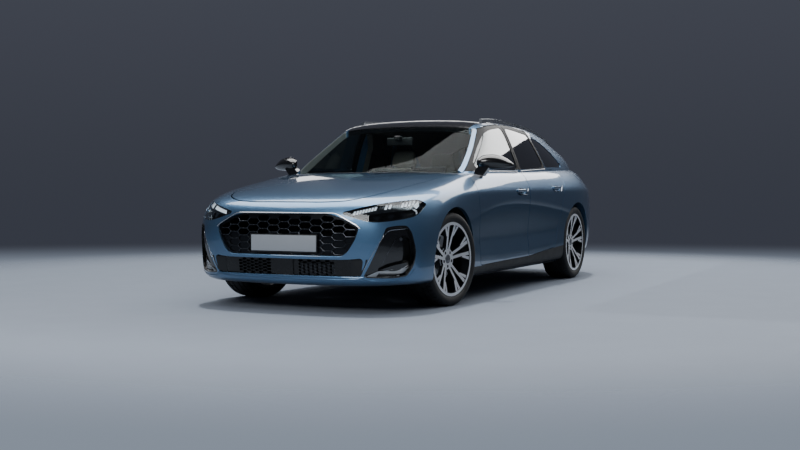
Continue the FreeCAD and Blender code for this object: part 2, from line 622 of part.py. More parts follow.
def corner_prism(shares, radius, low, high, widen=0):
    """Body square to the front corner over an outline across that corner."""
    turn = math.radians(corner_angle)
    outward = Vector(math.cos(turn), math.sin(turn), 0)
    across = Vector(-math.sin(turn), math.cos(turn), 0)
    base = Vector(front_axle_x, half_width, 0)
    corners = [base + across * (t * front_overhang) + Vector(0, 0, roof_height * h)
               for t, h in shares]
    return prism(rounded_face(corners, radius), outward, low, high, widen)


def block(low_x, high_x, low_y, high_y, low_z, high_z):
    """Box between two places on each axis."""
    return Part.makeBox(high_x - low_x, high_y - low_y, high_z - low_z,
                        Vector(low_x, low_y, low_z))


def slice_along(start, end):
    """Everything in the left half between two places along the car."""
    return block(start, end, -overrun, body_width, -roof_height, 2 * roof_height)


def mirrored(shape):
    return shape.mirror(Vector(), Vector(0, 1, 0))


def joined(shapes):
    """One solid from pieces that touch, with no seams left in flat places."""
    return shapes[0].fuse(shapes[1:]).removeSplitter()


def largest(shape):
    return max(shape.Solids, key=lambda solid: solid.Volume)


def clean_solids(shape):
    """The solids of a shape without crumbs that a cut left."""
    least = crumb_share * largest(shape).Volume
    return [solid for solid in shape.Solids if solid.Volume > least]


def whole(half):
    """Left half and its mirror image as one piece."""
    return largest(joined([half, mirrored(half)]))


def pair(half):
    """Left and right piece as two solids of one node."""
    return Part.makeCompound(clean_solids(half) + clean_solids(mirrored(half)))


def y_cylinder(radius, low, high, x, z):
    """Round body along Y."""
    return Part.makeCylinder(radius, high - low, Vector(x, low, z), Vector(0, 1, 0))


def hollow(less=0):
    """Space inside the cabin walls. less keeps it that much further from them."""
    low = lower_form(door_depth + less, tail_depth + less, belt_depth + less)
    high = upper_form(pillar_depth + less, tail_depth + less, roof_depth + less)
    return low.fuse(high)


def inside_rim(depth):
    """Everything deeper than a thin rim under the outer form."""
    return lower_form(depth, depth, depth).fuse(upper_form(depth, depth, depth))


# Outer form of the left half, its hollow cabin and its thin skin ahead of the bulkhead
lower = lower_form()
upper = upper_form()
outer = lower.fuse(upper)
skin_core = lower_form(skin_depth, nose_depth, bonnet_depth)
bulkhead_x = station_x(bulkhead_station_share)
cabin_part = slice_along(-overall_length, bulkhead_x)
cabin_hollow = hollow()
arches = [y_cylinder(arch_radius, half_width * side_wall_share, body_width, x, tyre_radius)
          for x in (front_axle_x, rear_axle_x)]
shell = outer.cut(arches)
walls = shell.common(cabin_part).cut(cabin_hollow)
skin = shell.cut(skin_core)

# Zones of the panels, and the same zones a shut gap wider
door_outlines = (front_door_outline_shares, rear_door_outline_shares)
window_outlines = (front_glass_outline_shares, rear_glass_outline_shares)
pillar_gap = plan_prism(windshield_outline_shares, glass_corner, roof_height / 2,
                        2 * roof_height, pillar_width)
pillar_zone = plan_prism(windshield_outline_shares, glass_corner, roof_height / 2,
                         2 * roof_height, pillar_width + shut_gap)
door_zones = [side_prism(shares, door_corner).cut(pillar_zone) for shares in door_outlines]
door_gaps = [side_prism(shares, door_corner, shut_gap).cut(pillar_gap)
             for shares in door_outlines]
window_zones = [side_prism(shares, glass_corner) for shares in window_outlines]
quarter_zone = side_prism(quarter_glass_outline_shares, glass_corner)
post_zone = side_prism(post_outline_shares, panel_corner)
sill_zone = side_prism(sill_trim_outline_shares, panel_corner)
fender_zone = side_prism(fender_outline_shares, panel_corner, low=0)
nose_zone = side_prism(nose_outline_shares, panel_corner, low=0)
tail_zone = side_prism(rear_bumper_outline_shares, panel_corner, low=0)
tail_lamp_zone = side_prism(tail_lamp_outline_shares, lamp_corner, low=0)
bonnet_low = roof_height * bonnet_low_share
bonnet_zone = plan_prism(bonnet_outline_shares, bonnet_corner, bonnet_low, roof_height)
bonnet_gap = plan_prism(bonnet_outline_shares, bonnet_corner, bonnet_low - shut_gap,
                        roof_height, shut_gap)
screen_zone = plan_prism(windshield_outline_shares, glass_corner, roof_height / 2,
                         2 * roof_height).cut(lower)
cowl_zone = plan_prism(cowl_outline_shares, glass_corner, roof_height / 2, 2 * roof_height)
roof_zone = plan_prism(roof_outline_shares, glass_corner, roof_height * roof_low_share,
                       2 * roof_height)
hatch_front = station_x(hatch_station_share)
hatch_zone = front_prism(tailgate_outline_shares, glass_corner, -overall_length, hatch_front)
hatch_gap = front_prism(tailgate_outline_shares, glass_corner, -overall_length,
                        hatch_front + shut_gap, shut_gap)
rear_screen_zone = front_prism(rear_glass_hatch_shares, glass_corner, -overall_length,
                               station_x(rear_screen_station_share))
diffuser_zone = front_prism(diffuser_outline_shares, panel_corner, -overall_length, rear_axle_x)
nose_back = station_x(grille_back_share)
grille_zone = front_prism(grille_outline_shares, grille_corner, nose_back, overall_length)
intake_zone = front_prism(lower_intake_outline_shares, panel_corner, nose_back, overall_length)
lamp_zone = corner_prism(headlamp_outline_shares, lamp_corner, 0, body_width)
curtain_zone = corner_prism(air_curtain_outline_shares, curtain_corner, 0, body_width)


def hinge_leaves(space, stations):
    """Two hinge leaves, cut from the space between a door and what carries it."""
    start, end = [station_x(share) for share in stations]
    leaves = []
    for share in hinge_heights_share:
        z = roof_height * share
        leaves.append(space.common(block(start, end, half_width * door_inner_share, body_width,
                                         z - hinge_height / 2, z + hinge_height / 2)))
    return leaves


def front_hinges():
    """Leaves ahead of the front door, on its hinge pillar under the fender."""
    ring = side_prism(front_door_outline_shares, door_corner, shut_gap + hinge_grip)
    ring = ring.cut(side_prism(front_door_outline_shares, door_corner, seat_gap))
    ring = ring.common(skin_core).cut(cabin_hollow)
    return hinge_leaves(ring, front_hinge_stations_share)


def rear_hinges():
    """Leaves on the outside of the middle post, behind the rear door's front edge."""
    space = hollow(seat_gap).cut(hollow(shut_gap + hinge_grip))
    return hinge_leaves(space, rear_hinge_stations_share)


def side_frame():
    """Sill, pillars, cant rail and rear quarter in one pressed piece."""
    post = outer.common(post_zone).cut(hollow(shut_gap + post_depth))
    frame = walls.fuse(post)
    inner_rest = hollow(shut_gap)
    for zone in door_gaps:
        frame = frame.cut(zone.cut(inner_rest))
    bonnet_rest = lower_form(skin_depth, nose_depth, bonnet_depth + shut_gap)
    lamp_rest = lower_form(lamp_depth, lamp_depth)
    frame = frame.cut([fender_zone.cut(skin_core), sill_zone.cut(skin_core),
                       tail_zone.cut(skin_core)])
    frame = frame.cut([bonnet_gap.cut(bonnet_rest), tail_lamp_zone.cut(lamp_rest),
                       cowl_zone.common(lower)])
    middle = block(-overall_length, hatch_front, -overrun, half_width * tail_inner_share,
                   -roof_height, 2 * roof_height)
    frame = frame.cut([screen_zone, roof_zone, hatch_gap, quarter_zone, middle])
    return largest(frame.fuse(front_hinges() + rear_hinges()))


def door(which):
    """A whole door with its window cut through, only a thin rim along its rear edge."""
    panel = walls.common(door_zones[which]).cut([window_zones[which], sill_zone, bonnet_gap])
    if which == 1:
        panel = panel.cut(side_prism(front_door_outline_shares, door_corner, between_doors))
        thick_part = side_prism(rear_door_outline_shares, door_corner, -door_rim_width)
        at_rear = slice_along(-overall_length, station_x(rear_rim_station_share))
        thin_part = at_rear.cut(thick_part)
    else:
        thin_part = side_prism(rear_door_outline_shares, door_corner,
                               shut_gap + door_rim_width)
    return largest(panel.cut(thin_part.common(inside_rim(door_rim_depth))))


def side_glass(zone):
    """Side glass, sunk a little below the skin of the greenhouse."""
    sheet = upper_form(glass_sink).cut(upper_form(glass_sink + glass_thickness))
    return largest(sheet.common(zone))


def screen(zone):
    """Windshield or rear glass, sunk a little below the skin of the greenhouse."""
    sunk = glass_sink + glass_thickness
    sheet = upper_form(0, glass_sink, glass_sink).cut(upper_form(0, sunk, sunk))
    return whole(largest(sheet.common(zone)))


def bonnet():
    panel = skin.common(bonnet_zone)
    return whole(largest(panel))


def cowl():
    """Black strip between bonnet and windshield."""
    strip = lower.common(cowl_zone).cut(lower_form(0, 0, bonnet_depth))
    room = plan_prism(bonnet_outline_shares, bonnet_corner, bonnet_low, roof_height, cowl_gap)
    return whole(largest(strip.cut(room)))


def fender():
    panel = skin.common(fender_zone)
    panel = panel.cut([bonnet_gap, cowl_zone, lamp_zone, door_gaps[0]])
    return largest(panel.cut(upper))


def front_bumper():
    panel = skin.common(nose_zone)
    room = plan_prism(bonnet_outline_shares, bonnet_corner, bonnet_low - shut_gap,
                      roof_height, 2 * shut_gap)
    panel = panel.cut([room, lamp_zone, grille_zone, intake_zone, curtain_zone])
    return whole(largest(panel))


def rear_bumper():
    panel = skin.common(tail_zone).cut([hatch_gap, diffuser_zone])
    return whole(largest(panel))


def diffuser():
    panel = skin.common(tail_zone).common(diffuser_zone)
    return whole(largest(panel))


def sill_trim():
    return largest(skin.common(sill_zone).cut([fender_zone] + door_gaps))


def hatch_hinge():
    """Hinge leaf of the tailgate: it fills the shut gap at the top of the roof's edge."""
    inner_y, outer_y = [half_width * share for share in hatch_hinge_shares]
    top = upper.cut(upper_form(0, 0, hinge_grip))
    return top.common(block(hatch_front + seat_gap, hatch_front + shut_gap + hinge_grip, inner_y,
                            outer_y, 0, 2 * roof_height))


def roof_panel():
    panel = walls.common(roof_zone).cut([screen_zone, hatch_gap])
    return whole(largest(largest(panel).fuse(hatch_hinge())))


def tailgate():
    """Whole tailgate with its roof spoiler, its window cut through."""
    panel = walls.common(hatch_zone).cut(rear_screen_zone)
    beside = block(-overall_length, hatch_front, half_width * hatch_inner_share, body_width,
                   0, 2 * roof_height)
    panel = panel.cut(beside.common(inside_rim(hatch_rim_depth)))
    strip_core = lower_form(strip_depth, strip_depth)
    panel = panel.cut(tail_lamp_zone.cut(strip_core))
    return whole(with_spoiler(largest(panel)))


def light_strip():
    strip = outer.common(tail_lamp_zone).common(hatch_zone)
    return whole(largest(strip.cut(lower_form(strip_depth, strip_depth))))


def tail_lamp():
    lamp = outer.common(tail_lamp_zone).cut(hatch_gap)
    return largest(lamp.cut(lower_form(lamp_depth, lamp_depth)))



def hexagon(y, z, width, height):
    """Flattened hexagonal cell along the car, wide across Y."""
    corners = [Vector(nose_back, y + width * a, z + height * b) for a, b in hexagon_shares]
    wire = Part.makePolygon(corners + corners[:1])
    return Part.Face(wire).extrude(Vector(overall_length - nose_back, 0, 0))


def grille():
    """Sunk plate with rows of flattened hexagons, open above and blind below."""
    plate = lower_form(0, grille_sink).common(grille_zone)
    plate = plate.cut(lower_form(0, grille_sink + grille_depth))
    blind_floor = lower_form(0, grille_sink + blind_depth)
    top = roof_height * grille_outline_shares[0][1] - grille_margin
    inner_zone = front_prism(grille_outline_shares, grille_corner, nose_back, overall_length,
                             -grille_margin)
    cells = []
    for row in range(2 * cell_rows):
        z = top - cell_height / 2 - row * cell_pitch_z / 2
        columns = [2 * k + row % 2 for k in range(cell_columns)]
        row_cells = Part.makeCompound([hexagon(k * cell_pitch_y, z, cell_width, cell_height)
                                       for k in columns])
        row_cells = row_cells.common(inner_zone)
        cells.append(row_cells if row < open_rows else row_cells.cut(blind_floor))
    return whole(largest(plate.cut(cells)))


def intake():
    """Black band below the grille: two honeycomb meshes beside the radar's cover."""
    plate = lower_form(0, grille_sink).common(intake_zone).cut(curtain_zone)
    plate = plate.cut(lower_form(0, grille_sink + grille_floor))
    band_middle = roof_height * (lower_intake_outline_shares[0][1]
                                 + lower_intake_outline_shares[-1][1]) / 2
    cells = []
    for column in range(mesh_columns):
        y = mesh_start_y + (column + 1 / 2) * mesh_pitch_y
        for row in range(mesh_rows - column % 2):
            z = band_middle + (row - (mesh_rows - 1 - column % 2) / 2) * mesh_pitch_z
            cells.append(hexagon(y, z, mesh_cell_width, mesh_cell_height))
    cover = lower_form(0, grille_sink - lamp_wall).common(intake_zone)
    cover = cover.common(block(nose_back, overall_length, 0, radar_width / 2, 0, roof_height))
    return whole(largest(plate.cut(cells).fuse(cover.cut(lower_form(0, grille_sink)))))


def air_curtain():
    """Corner trim: a shallow frame round a deep pocket, whose bottom is a raised scoop."""
    back = curtain_depth + skin_depth
    trim = lower_form(0, 0).common(curtain_zone).cut(lower_form(back, back))
    frame = corner_prism(air_curtain_outline_shares, curtain_corner, 0, body_width,
                         -curtain_rim)
    pocket = corner_prism(curtain_pocket_outline_shares, panel_corner, 0, body_width)
    scoop = corner_prism(curtain_scoop_outline_shares, lamp_corner, 0, body_width)
    scoop = scoop.common(lower_form(curtain_scoop_depth, curtain_scoop_depth))
    deep = pocket.cut([lower_form(curtain_depth, curtain_depth), scoop])
    shallow = frame.cut(lower_form(curtain_step, curtain_step))
    return largest(trim.cut([shallow, deep]))


def headlamp_housing():
    """Dark bowl behind the lens: the light blade along its top and projectors below it."""
    thick = lamp_lens_thickness
    front = lower_form(thick, thick, thick)
    bowl = front.common(lamp_zone).cut(lower_form(lamp_depth, lamp_depth, lamp_depth))
    room = corner_prism(headlamp_outline_shares, lamp_corner, 0, body_width, -lamp_wall)
    floor_depth = lamp_depth - lamp_wall
    room = room.cut(lower_form(floor_depth, floor_depth, floor_depth))
    blade_depth = thick + lamp_blade_gap
    blade = corner_prism(lamp_blade_outline_shares, lamp_wall, 0, body_width)
    blade = blade.common(lower_form(blade_depth, blade_depth, blade_depth))
    filled = [blade]
    for along, height in projector_shares:
        reach = projector_radius / front_overhang
        rise = projector_radius / roof_height
        square = [(along - reach, height - rise), (along + reach, height - rise),
                  (along + reach, height + rise), (along - reach, height + rise)]
        barrel = corner_prism(square, projector_radius - lamp_wall / 2, 0, body_width)
        depth = projector_depth
        filled.append(barrel.common(lower_form(depth, depth, depth)))
    return largest(bowl.cut(room.cut(filled)))


def headlamp_lens():
    thick = lamp_lens_thickness
    return largest(outer.common(lamp_zone).cut(lower_form(thick, thick, thick)))


def seat(crease_x, width, middle_y, headrests):
    """Seat with cushion, leaning backrest and headrests, on a foot that meets the floor."""
    lean = math.radians(backrest_lean)
    up = Vector(-math.sin(lean), 0, math.cos(lean))
    behind = Vector(-math.cos(lean), 0, -math.sin(lean))
    crease = Vector(crease_x, 0, seat_top)
    under = Vector(0, 0, -cushion_height)
    front = Vector(cushion_length, 0, 0)
    corners = [crease + front + under, crease + front, crease, crease + up * backrest_height,
               crease + up * backrest_height + behind * backrest_thickness,
               crease + behind * backrest_thickness + under]
    body = prism(rounded_face(corners, seat_corner), Vector(0, 1, 0), middle_y - width / 2,
                 middle_y + width / 2)
    foot = block(crease_x, crease_x + cushion_length - seat_corner,
                 middle_y - width * seat_foot_share, middle_y + width * seat_foot_share,
                 floor_height + floor_thickness, seat_top - cushion_height)
    parts = [body, foot]
    top = crease + up * backrest_height + behind * (backrest_thickness / 2)
    for y in headrests:
        rest = Part.makeBox(headrest_depth, headrest_width, headrest_height,
                            Vector(-headrest_depth / 2, -headrest_width / 2, headrest_gap))
        rest = rest.makeFillet(seat_corner, rest.Edges)
        for side in (-1, 1):
            post = Part.makeCylinder(headrest_post_radius, 2 * headrest_gap,
                                     Vector(0, side * headrest_width / 4, -headrest_gap / 2))
            rest = rest.fuse(post)
        rest.rotate(Vector(), Vector(0, 1, 0), -backrest_lean)
        rest.translate(top + Vector(0, y, 0))
        parts.append(rest)
    return joined(parts)


def skin_y(x, z):
    """Half width of the lower body at a place in the side view."""
    line = Part.makeLine(Vector(x, half_width / 2, z), Vector(x, body_width, z))
    return line.common(lower).BoundBox.YMax


def with_handle(panel, shares):
    """A hand pocket in the door with a grip bridging it."""
    x = station_x(shares[0])
    z = roof_height * shares[1]
    y = skin_y(x, z)
    pocket = Part.makeSphere(handle_height / 2)
    stretch = Matrix()
    stretch.scale(handle_length / handle_height, 2 * handle_pocket_depth / handle_height, 1)
    pocket = pocket.transformGeometry(stretch)
    pocket.translate(Vector(x, y, z))
    grip = block(x - handle_length * handle_grip_share, x + handle_length * handle_grip_share,
                 y - grip_depth, y + grip_depth / 2, z, z + grip_height)
    grip = grip.makeFillet(grip_depth / 3, grip.Edges)
    return largest(panel.cut(pocket).fuse(grip))


def mirror_head():
    """Door mirror: a pod that tapers to its tip, on a stalk from the door's shoulder."""
    station, width, height = mirror_place_shares
    x, y, z = station_x(station), half_width * width, roof_height * height
    sections = []
    for along, deep, tall, rise in mirror_section_shares:
        middle = Vector(x - mirror_sweep * along, y + mirror_length * (along - 1 / 2),
                        z + mirror_height * rise)
        oval = Part.Ellipse(middle + Vector(mirror_depth * deep / 2, 0, 0),
                            middle + Vector(0, 0, mirror_height * tall / 2), middle)
        sections.append(Part.Wire(oval.toShape()))
    pod = Part.makeLoft(sections, True)
    glass_x = x - mirror_depth * mirror_glass_share
    behind = block(glass_x - mirror_depth, glass_x, 0, body_width, 0, roof_height)
    behind.rotate(Vector(glass_x, y, z), Vector(0, 0, 1),
                  math.degrees(math.atan(mirror_sweep / mirror_length)))
    corners = [Vector(x - mirror_stalk_length / 2, half_width * a, roof_height * b)
               for a, b in mirror_stalk_outline_shares]
    stalk = rounded_face(corners, mirror_stalk_corner)
    stalk = stalk.extrude(Vector(mirror_stalk_length, 0, 0))
    return largest(pod.cut(behind).fuse(stalk).cut(outer))


def roof_rail():
    """Rail that follows the roof on three feet."""
    front_x, rear_x = [station_x(share) for share in rail_stations_share]
    middle_x = station_x(rail_middle_share)
    y = half_width * rail_y_share
    band = upper_form(0, 0, -rail_gap - rail_height)
    band = band.cut(upper_form(0, 0, -rail_gap))
    low = roof_height * roof_low_share
    bar = band.common(block(rear_x, front_x, y - rail_width / 2, y + rail_width / 2, low,
                            2 * roof_height))
    under = upper_form(0, 0, -rail_gap).cut(upper)
    feet = [under.common(block(x, x + rail_foot_length, y - rail_width / 2,
                               y + rail_width / 2, low, 2 * roof_height))
            for x in (rear_x, middle_x, front_x - rail_foot_length)]
    return largest(bar.fuse(feet).removeSplitter())


def with_spoiler(panel):
    """The tailgate with its blade over the rear glass, which carries the roof line on."""
    blade = upper_form(0, -spoiler_reach).common(side_prism(spoiler_outline_shares,
                                                            lamp_corner, low=0))
    blade = blade.common(block(-overall_length, hatch_front, -overrun,
                               half_width * spoiler_width_share, 0, 2 * roof_height))
    return largest(panel.fuse(blade.cut(outer)))


def turned(corners):
    """Ring or disc turned about the wheel's own axis from its section beside that axis."""
    points = [Vector(0, y, r) for y, r in corners]
    face = Part.Face(Part.makePolygon(points + points[:1]))
    return face.revolve(Vector(), Vector(0, 1, 0), 360)


def tyre():
    """Tyre with its outer face at y = 0, round its own axis."""
    shoulder = tyre_rounding
    back = -tyre_width
    bead = rim_inset + rim_lip
    return turned([(-bead, bead_radius), (0, tyre_radius - shoulder),
                   (-shoulder, tyre_radius), (back + shoulder, tyre_radius),
                   (back + bead, bead_radius)])


def rim():
    """Rim, five pairs of forked spokes, hub and brake disc in one turning piece."""
    inner = bead_radius - rim_wall
    barrel = turned([(-rim_lip, rim_radius), (-rim_lip, inner),
                     (rim_lip - tyre_width, inner), (rim_lip - tyre_width, rim_radius),
                     (rim_inset - tyre_width - seat_gap, rim_radius),
                     (rim_inset - tyre_width - seat_gap, bead_radius - seat_gap),
                     (-rim_inset - seat_gap, bead_radius - seat_gap),
                     (-rim_inset + seat_gap, rim_radius)])
    face_y = -rim_lip
    hub_y = face_y - rim_dish
    dish = turned([(hub_y, 0), (hub_y, hub_face_radius),
                   (face_y - rim_wall / 2, bead_radius - rim_wall / 2),
                   (face_y - spoke_thickness, bead_radius - rim_wall / 2),
                   (hub_y - spoke_thickness, hub_face_radius), (hub_y - spoke_thickness, 0)])
    spokes = []
    for k in range(twin_spokes):
        for side in (1, -1):
            for shares in (spoke_shares, fork_shares):
                flat = [Vector(side * rim_radius * a, -tyre_width, rim_radius * b)
                        for a, b in shares]
                bar = Part.Face(Part.makePolygon(flat + flat[:1]))
                bar = bar.extrude(Vector(0, tyre_width, 0))
                bar.rotate(Vector(), Vector(0, 1, 0), k * 360 / twin_spokes)
                spokes.append(bar)
    spokes = dish.common(spokes[0].fuse(spokes[1:]))
    back_y = -disc_sink - disc_thickness
    disc = y_cylinder(disc_radius, back_y, -disc_sink, 0, 0)
    hat = y_cylinder(disc_hat_radius, back_y, hub_y - spoke_thickness / 2, 0, 0)
    hub = y_cylinder(hub_face_radius, hub_y - spoke_thickness, hub_y, 0, 0)
    cap = y_cylinder(hub_cap_radius, hub_y - hub_cap_depth, hub_y, 0, 0)
    whole_rim = joined([barrel, spokes, hub, hat, disc]).cut(cap)
    pockets = []
    for k in range(twin_spokes):
        turn = 2 * math.pi * (k + 1 / 2) / twin_spokes
        pockets.append(y_cylinder(bolt_pocket_radius, hub_y - bolt_pocket_depth, hub_y,
                                  bolt_circle_radius * math.sin(turn),
                                  bolt_circle_radius * math.cos(turn)))
    return largest(whole_rim.cut(pockets))


def knuckle(caliper_turn):
    """Upright with stub axle, ball seat and brake caliper, beside the wheel's axis."""
    disc_back = -disc_sink - disc_thickness
    outer_y = disc_back - running_gap
    inner_y = outer_y - knuckle_depth
    plate = block(-knuckle_width / 2, knuckle_width / 2, inner_y, outer_y,
                  -knuckle_height / 2, knuckle_height / 2)
    round_plate = y_cylinder(knuckle_width * knuckle_round_share, inner_y, outer_y, 0, 0)
    stub = y_cylinder(hub_radius, outer_y, disc_back - seat_gap, 0, 0)
    over = disc_radius + running_gap
    reach = over + caliper_wall
    low = disc_radius - caliper_reach
    caliper = block(low, reach, inner_y, running_gap + caliper_wall - disc_sink,
                    -caliper_height / 2, caliper_height / 2)
    caliper = caliper.common(y_cylinder(reach, inner_y, 0, 0, 0))
    slot = y_cylinder(over, outer_y, running_gap - disc_sink, 0, 0)
    arm = block(0, low, inner_y, outer_y, -knuckle_width / 2, knuckle_width / 2)
    held = caliper.cut(slot).fuse(arm)
    held.rotate(Vector(), Vector(0, 1, 0), -caliper_turn)
    return largest(joined([plate, round_plate, stub, held]))


def at_wheel(shape, axle_x, steered, side):
    """Puts a wheel piece at its axle on the left or right, steered as it stands."""
    placed = shape.copy()
    placed.translate(Vector(axle_x, tyre_face_y, tyre_radius))
    if side == "right":
        placed = mirrored(placed)
    if steered:
        sign = 1 if side == "left" else -1
        placed.rotate(Vector(axle_x, sign * knuckle_y, 0), Vector(0, 0, 1), steer_angle_at_rest)
    return placed


def chassis_leg():
    """Box rail from the bulkhead along the engine to the back of the grille."""
    inner_y, outer_y = [half_width * share for share in leg_shares]
    low_z, high_z = [roof_height * share for share in leg_heights_share]
    room = lower_form(skin_depth, grille_sink + grille_depth, bonnet_depth)
    return room.common(block(bulkhead_x - bulkhead_thickness, overall_length / 2, inner_y,
                             outer_y, low_z, high_z))


def strut_tower():
    """Dome over the front wheel housing, with a buffer that the bonnet rests on."""
    y = half_width * tower_share
    foot = tyre_radius + liner_radius / 2
    dome = Part.makeCylinder(tower_radius, roof_height, Vector(front_axle_x, y, foot))
    dome = dome.common(lower_form(skin_depth, nose_depth, bonnet_depth + buffer_height))
    buffer = Part.makeCylinder(buffer_radius, roof_height, Vector(front_axle_x, y, foot))
    return dome.fuse(buffer.common(lower_form(skin_depth, nose_depth, bonnet_depth + seat_gap)))


def floor():
    """Floor pan, bulkhead, seat step, load floor and wheel housings in one piece."""
    step_x = station_x(seat_step_station_share)
    rear_end = rear_axle_x - rear_overhang
    top = floor_height + floor_thickness
    pieces = [block(step_x, bulkhead_x, 0, half_width, floor_height, top),
              block(bulkhead_x - bulkhead_thickness, bulkhead_x, 0, half_width, floor_height,
                    roof_height),
              block(step_x - floor_thickness, step_x, 0, half_width, floor_height,
                    load_floor_height + floor_thickness),
              block(rear_end, step_x, 0, half_width, load_floor_height,
                    load_floor_height + floor_thickness)]
    pan = pieces[0].fuse(pieces[1:]).common(cabin_hollow)
    housings = []
    rooms = []
    for x, inner_y in ((front_axle_x, front_liner_inner_y), (rear_axle_x, rear_liner_inner_y)):
        drum = y_cylinder(liner_radius + liner_wall, inner_y - liner_wall, half_width, x,
                          tyre_radius)
        room = y_cylinder(liner_radius, inner_y, body_width, x, tyre_radius)
        rooms.append(room)
        housings.append(drum)
    low_cut = block(-overall_length, overall_length, -overrun, body_width, -roof_height,
                    floor_height)
    front_drum = housings[0].common(skin_core).cut(walls)
    rear_drum = housings[1].common(cabin_hollow)
    post = outer.common(post_zone).cut(hollow(shut_gap + post_depth))
    cowl_room = lower.cut(lower_form(0, 0, bonnet_depth)).common(cowl_zone)
    body = joined([pan, front_drum, rear_drum, chassis_leg(), strut_tower()])
    body = body.cut(rooms + [low_cut, arm_room(), rear_carrier_half(), cowl_room, post])
    return whole(largest(body))


def arm_room():
    """Space that the front arms pass through."""
    return block(front_axle_x - 2 * arm_width, front_axle_x + 2 * arm_width, 0, body_width,
                 -roof_height, arm_height + arm_thickness)


def front_subframe():
    """Cross member under the engine with a lower arm to each knuckle's ball joint."""
    member = block(front_axle_x - member_length / 2, front_axle_x + member_length / 2, 0,
                   arm_inner_y, arm_height - arm_thickness / 2, engine_bottom)
    arm = block(front_axle_x - arm_width / 2, front_axle_x + arm_width / 2, arm_inner_y,
                knuckle_y, arm_height - arm_thickness / 2, arm_height + arm_thickness / 2)
    ball = Part.makeCylinder(arm_width / 2, arm_thickness,
                             Vector(front_axle_x, knuckle_y, arm_height - arm_thickness / 2))
    bottom = tyre_radius - knuckle_height / 2 - seat_gap
    pin = Part.makeCylinder(ball_radius, bottom - arm_height, Vector(front_axle_x, knuckle_y,
                                                                     arm_height))
    inner_y, outer_y = [half_width * share for share in leg_shares]
    bracket = block(front_axle_x - arm_width, front_axle_x + arm_width, arm_inner_y, outer_y,
                    arm_height, arm_height + 2 * arm_thickness)
    mount = block(front_axle_x - arm_width, front_axle_x + arm_width, inner_y, outer_y,
                  arm_height, roof_height * leg_heights_share[0])
    return whole(joined([member, arm, ball, pin, bracket, mount]))


def rear_carrier_half():
    """Left half of the rear cross member, its upright and stub axle."""
    disc_back = tyre_face_y - disc_sink - disc_thickness
    outer_y = disc_back - running_gap
    beam = block(rear_axle_x - member_length / 4, rear_axle_x + member_length / 4, 0, outer_y,
                 beam_bottom, beam_top)
    upright = knuckle(0)
    upright.translate(Vector(rear_axle_x, tyre_face_y, tyre_radius))
    return joined([beam, upright])


def rear_subframe():
    return whole(rear_carrier_half())


def engine():
    """One plain block for the engine, standing on the front cross member."""
    middle_x = front_axle_x + engine_offset
    body = block(middle_x - engine_length / 2, middle_x + engine_length / 2,
                 -engine_width / 2, engine_width / 2, engine_bottom,
                 engine_bottom + engine_height)
    uprights = [edge for edge in body.Edges
                if abs(edge.tangentAt(edge.FirstParameter).z) > run_share]
    return body.makeFillet(engine_corner, uprights)


def dashboard():
    """Dashboard across the cabin, rounded towards the seats."""
    front_x = bulkhead_x - bulkhead_thickness
    corners = [Vector(front_x, 0, dash_bottom), Vector(front_x, 0, dash_top),
               Vector(front_x - dash_length, 0, dash_top),
               Vector(front_x - dash_length * dash_slope_share, 0, dash_bottom)]
    half = prism(rounded_face(corners, dash_corner), Vector(0, 1, 0), 0,
                 half_width * dash_end_share)
    return whole(largest(half.common(hollow(shut_gap))))


def steering_wheel():
    """Rim, three spokes and column, leaning towards the driver."""
    section = []
    for k in range(grip_sides):
        turn = 2 * math.pi * k / grip_sides
        section.append(Vector(steering_wheel_radius + steering_rim_radius * math.cos(turn), 0,
                              steering_rim_radius * math.sin(turn)))
    ring = Part.Face(Part.makePolygon(section + section[:1]))
    ring = ring.revolve(Vector(), Vector(0, 0, 1), 360)
    boss = Part.makeCylinder(steering_boss_radius, 2 * steering_rim_radius,
                             Vector(0, 0, -steering_rim_radius))
    bars = [block(-steering_wheel_radius, steering_wheel_radius, -steering_rim_radius,
                  steering_rim_radius, -steering_rim_radius / 2, steering_rim_radius / 2),
            block(-steering_wheel_radius, 0, -steering_rim_radius, steering_rim_radius,
                  -steering_rim_radius / 2, steering_rim_radius / 2)]
    bars[0].rotate(Vector(), Vector(0, 0, 1), 90)
    column = Part.makeCylinder(steering_column_radius, column_length,
                               Vector(0, 0, -column_length))
    wheel = joined([ring, boss, column] + bars)
    wheel.rotate(Vector(), Vector(0, 1, 0), -90 + steering_wheel_tilt)
    dash_face = bulkhead_x - bulkhead_thickness - dash_length
    wheel.translate(Vector(dash_face - column_length * column_out_share, driver_y,
                           dash_top - steering_drop))
    return largest(wheel.cut(dashboard()))


def left_and_right(name, shape):
    return {name + "_left": shape, name + "_right": mirrored(shape)}


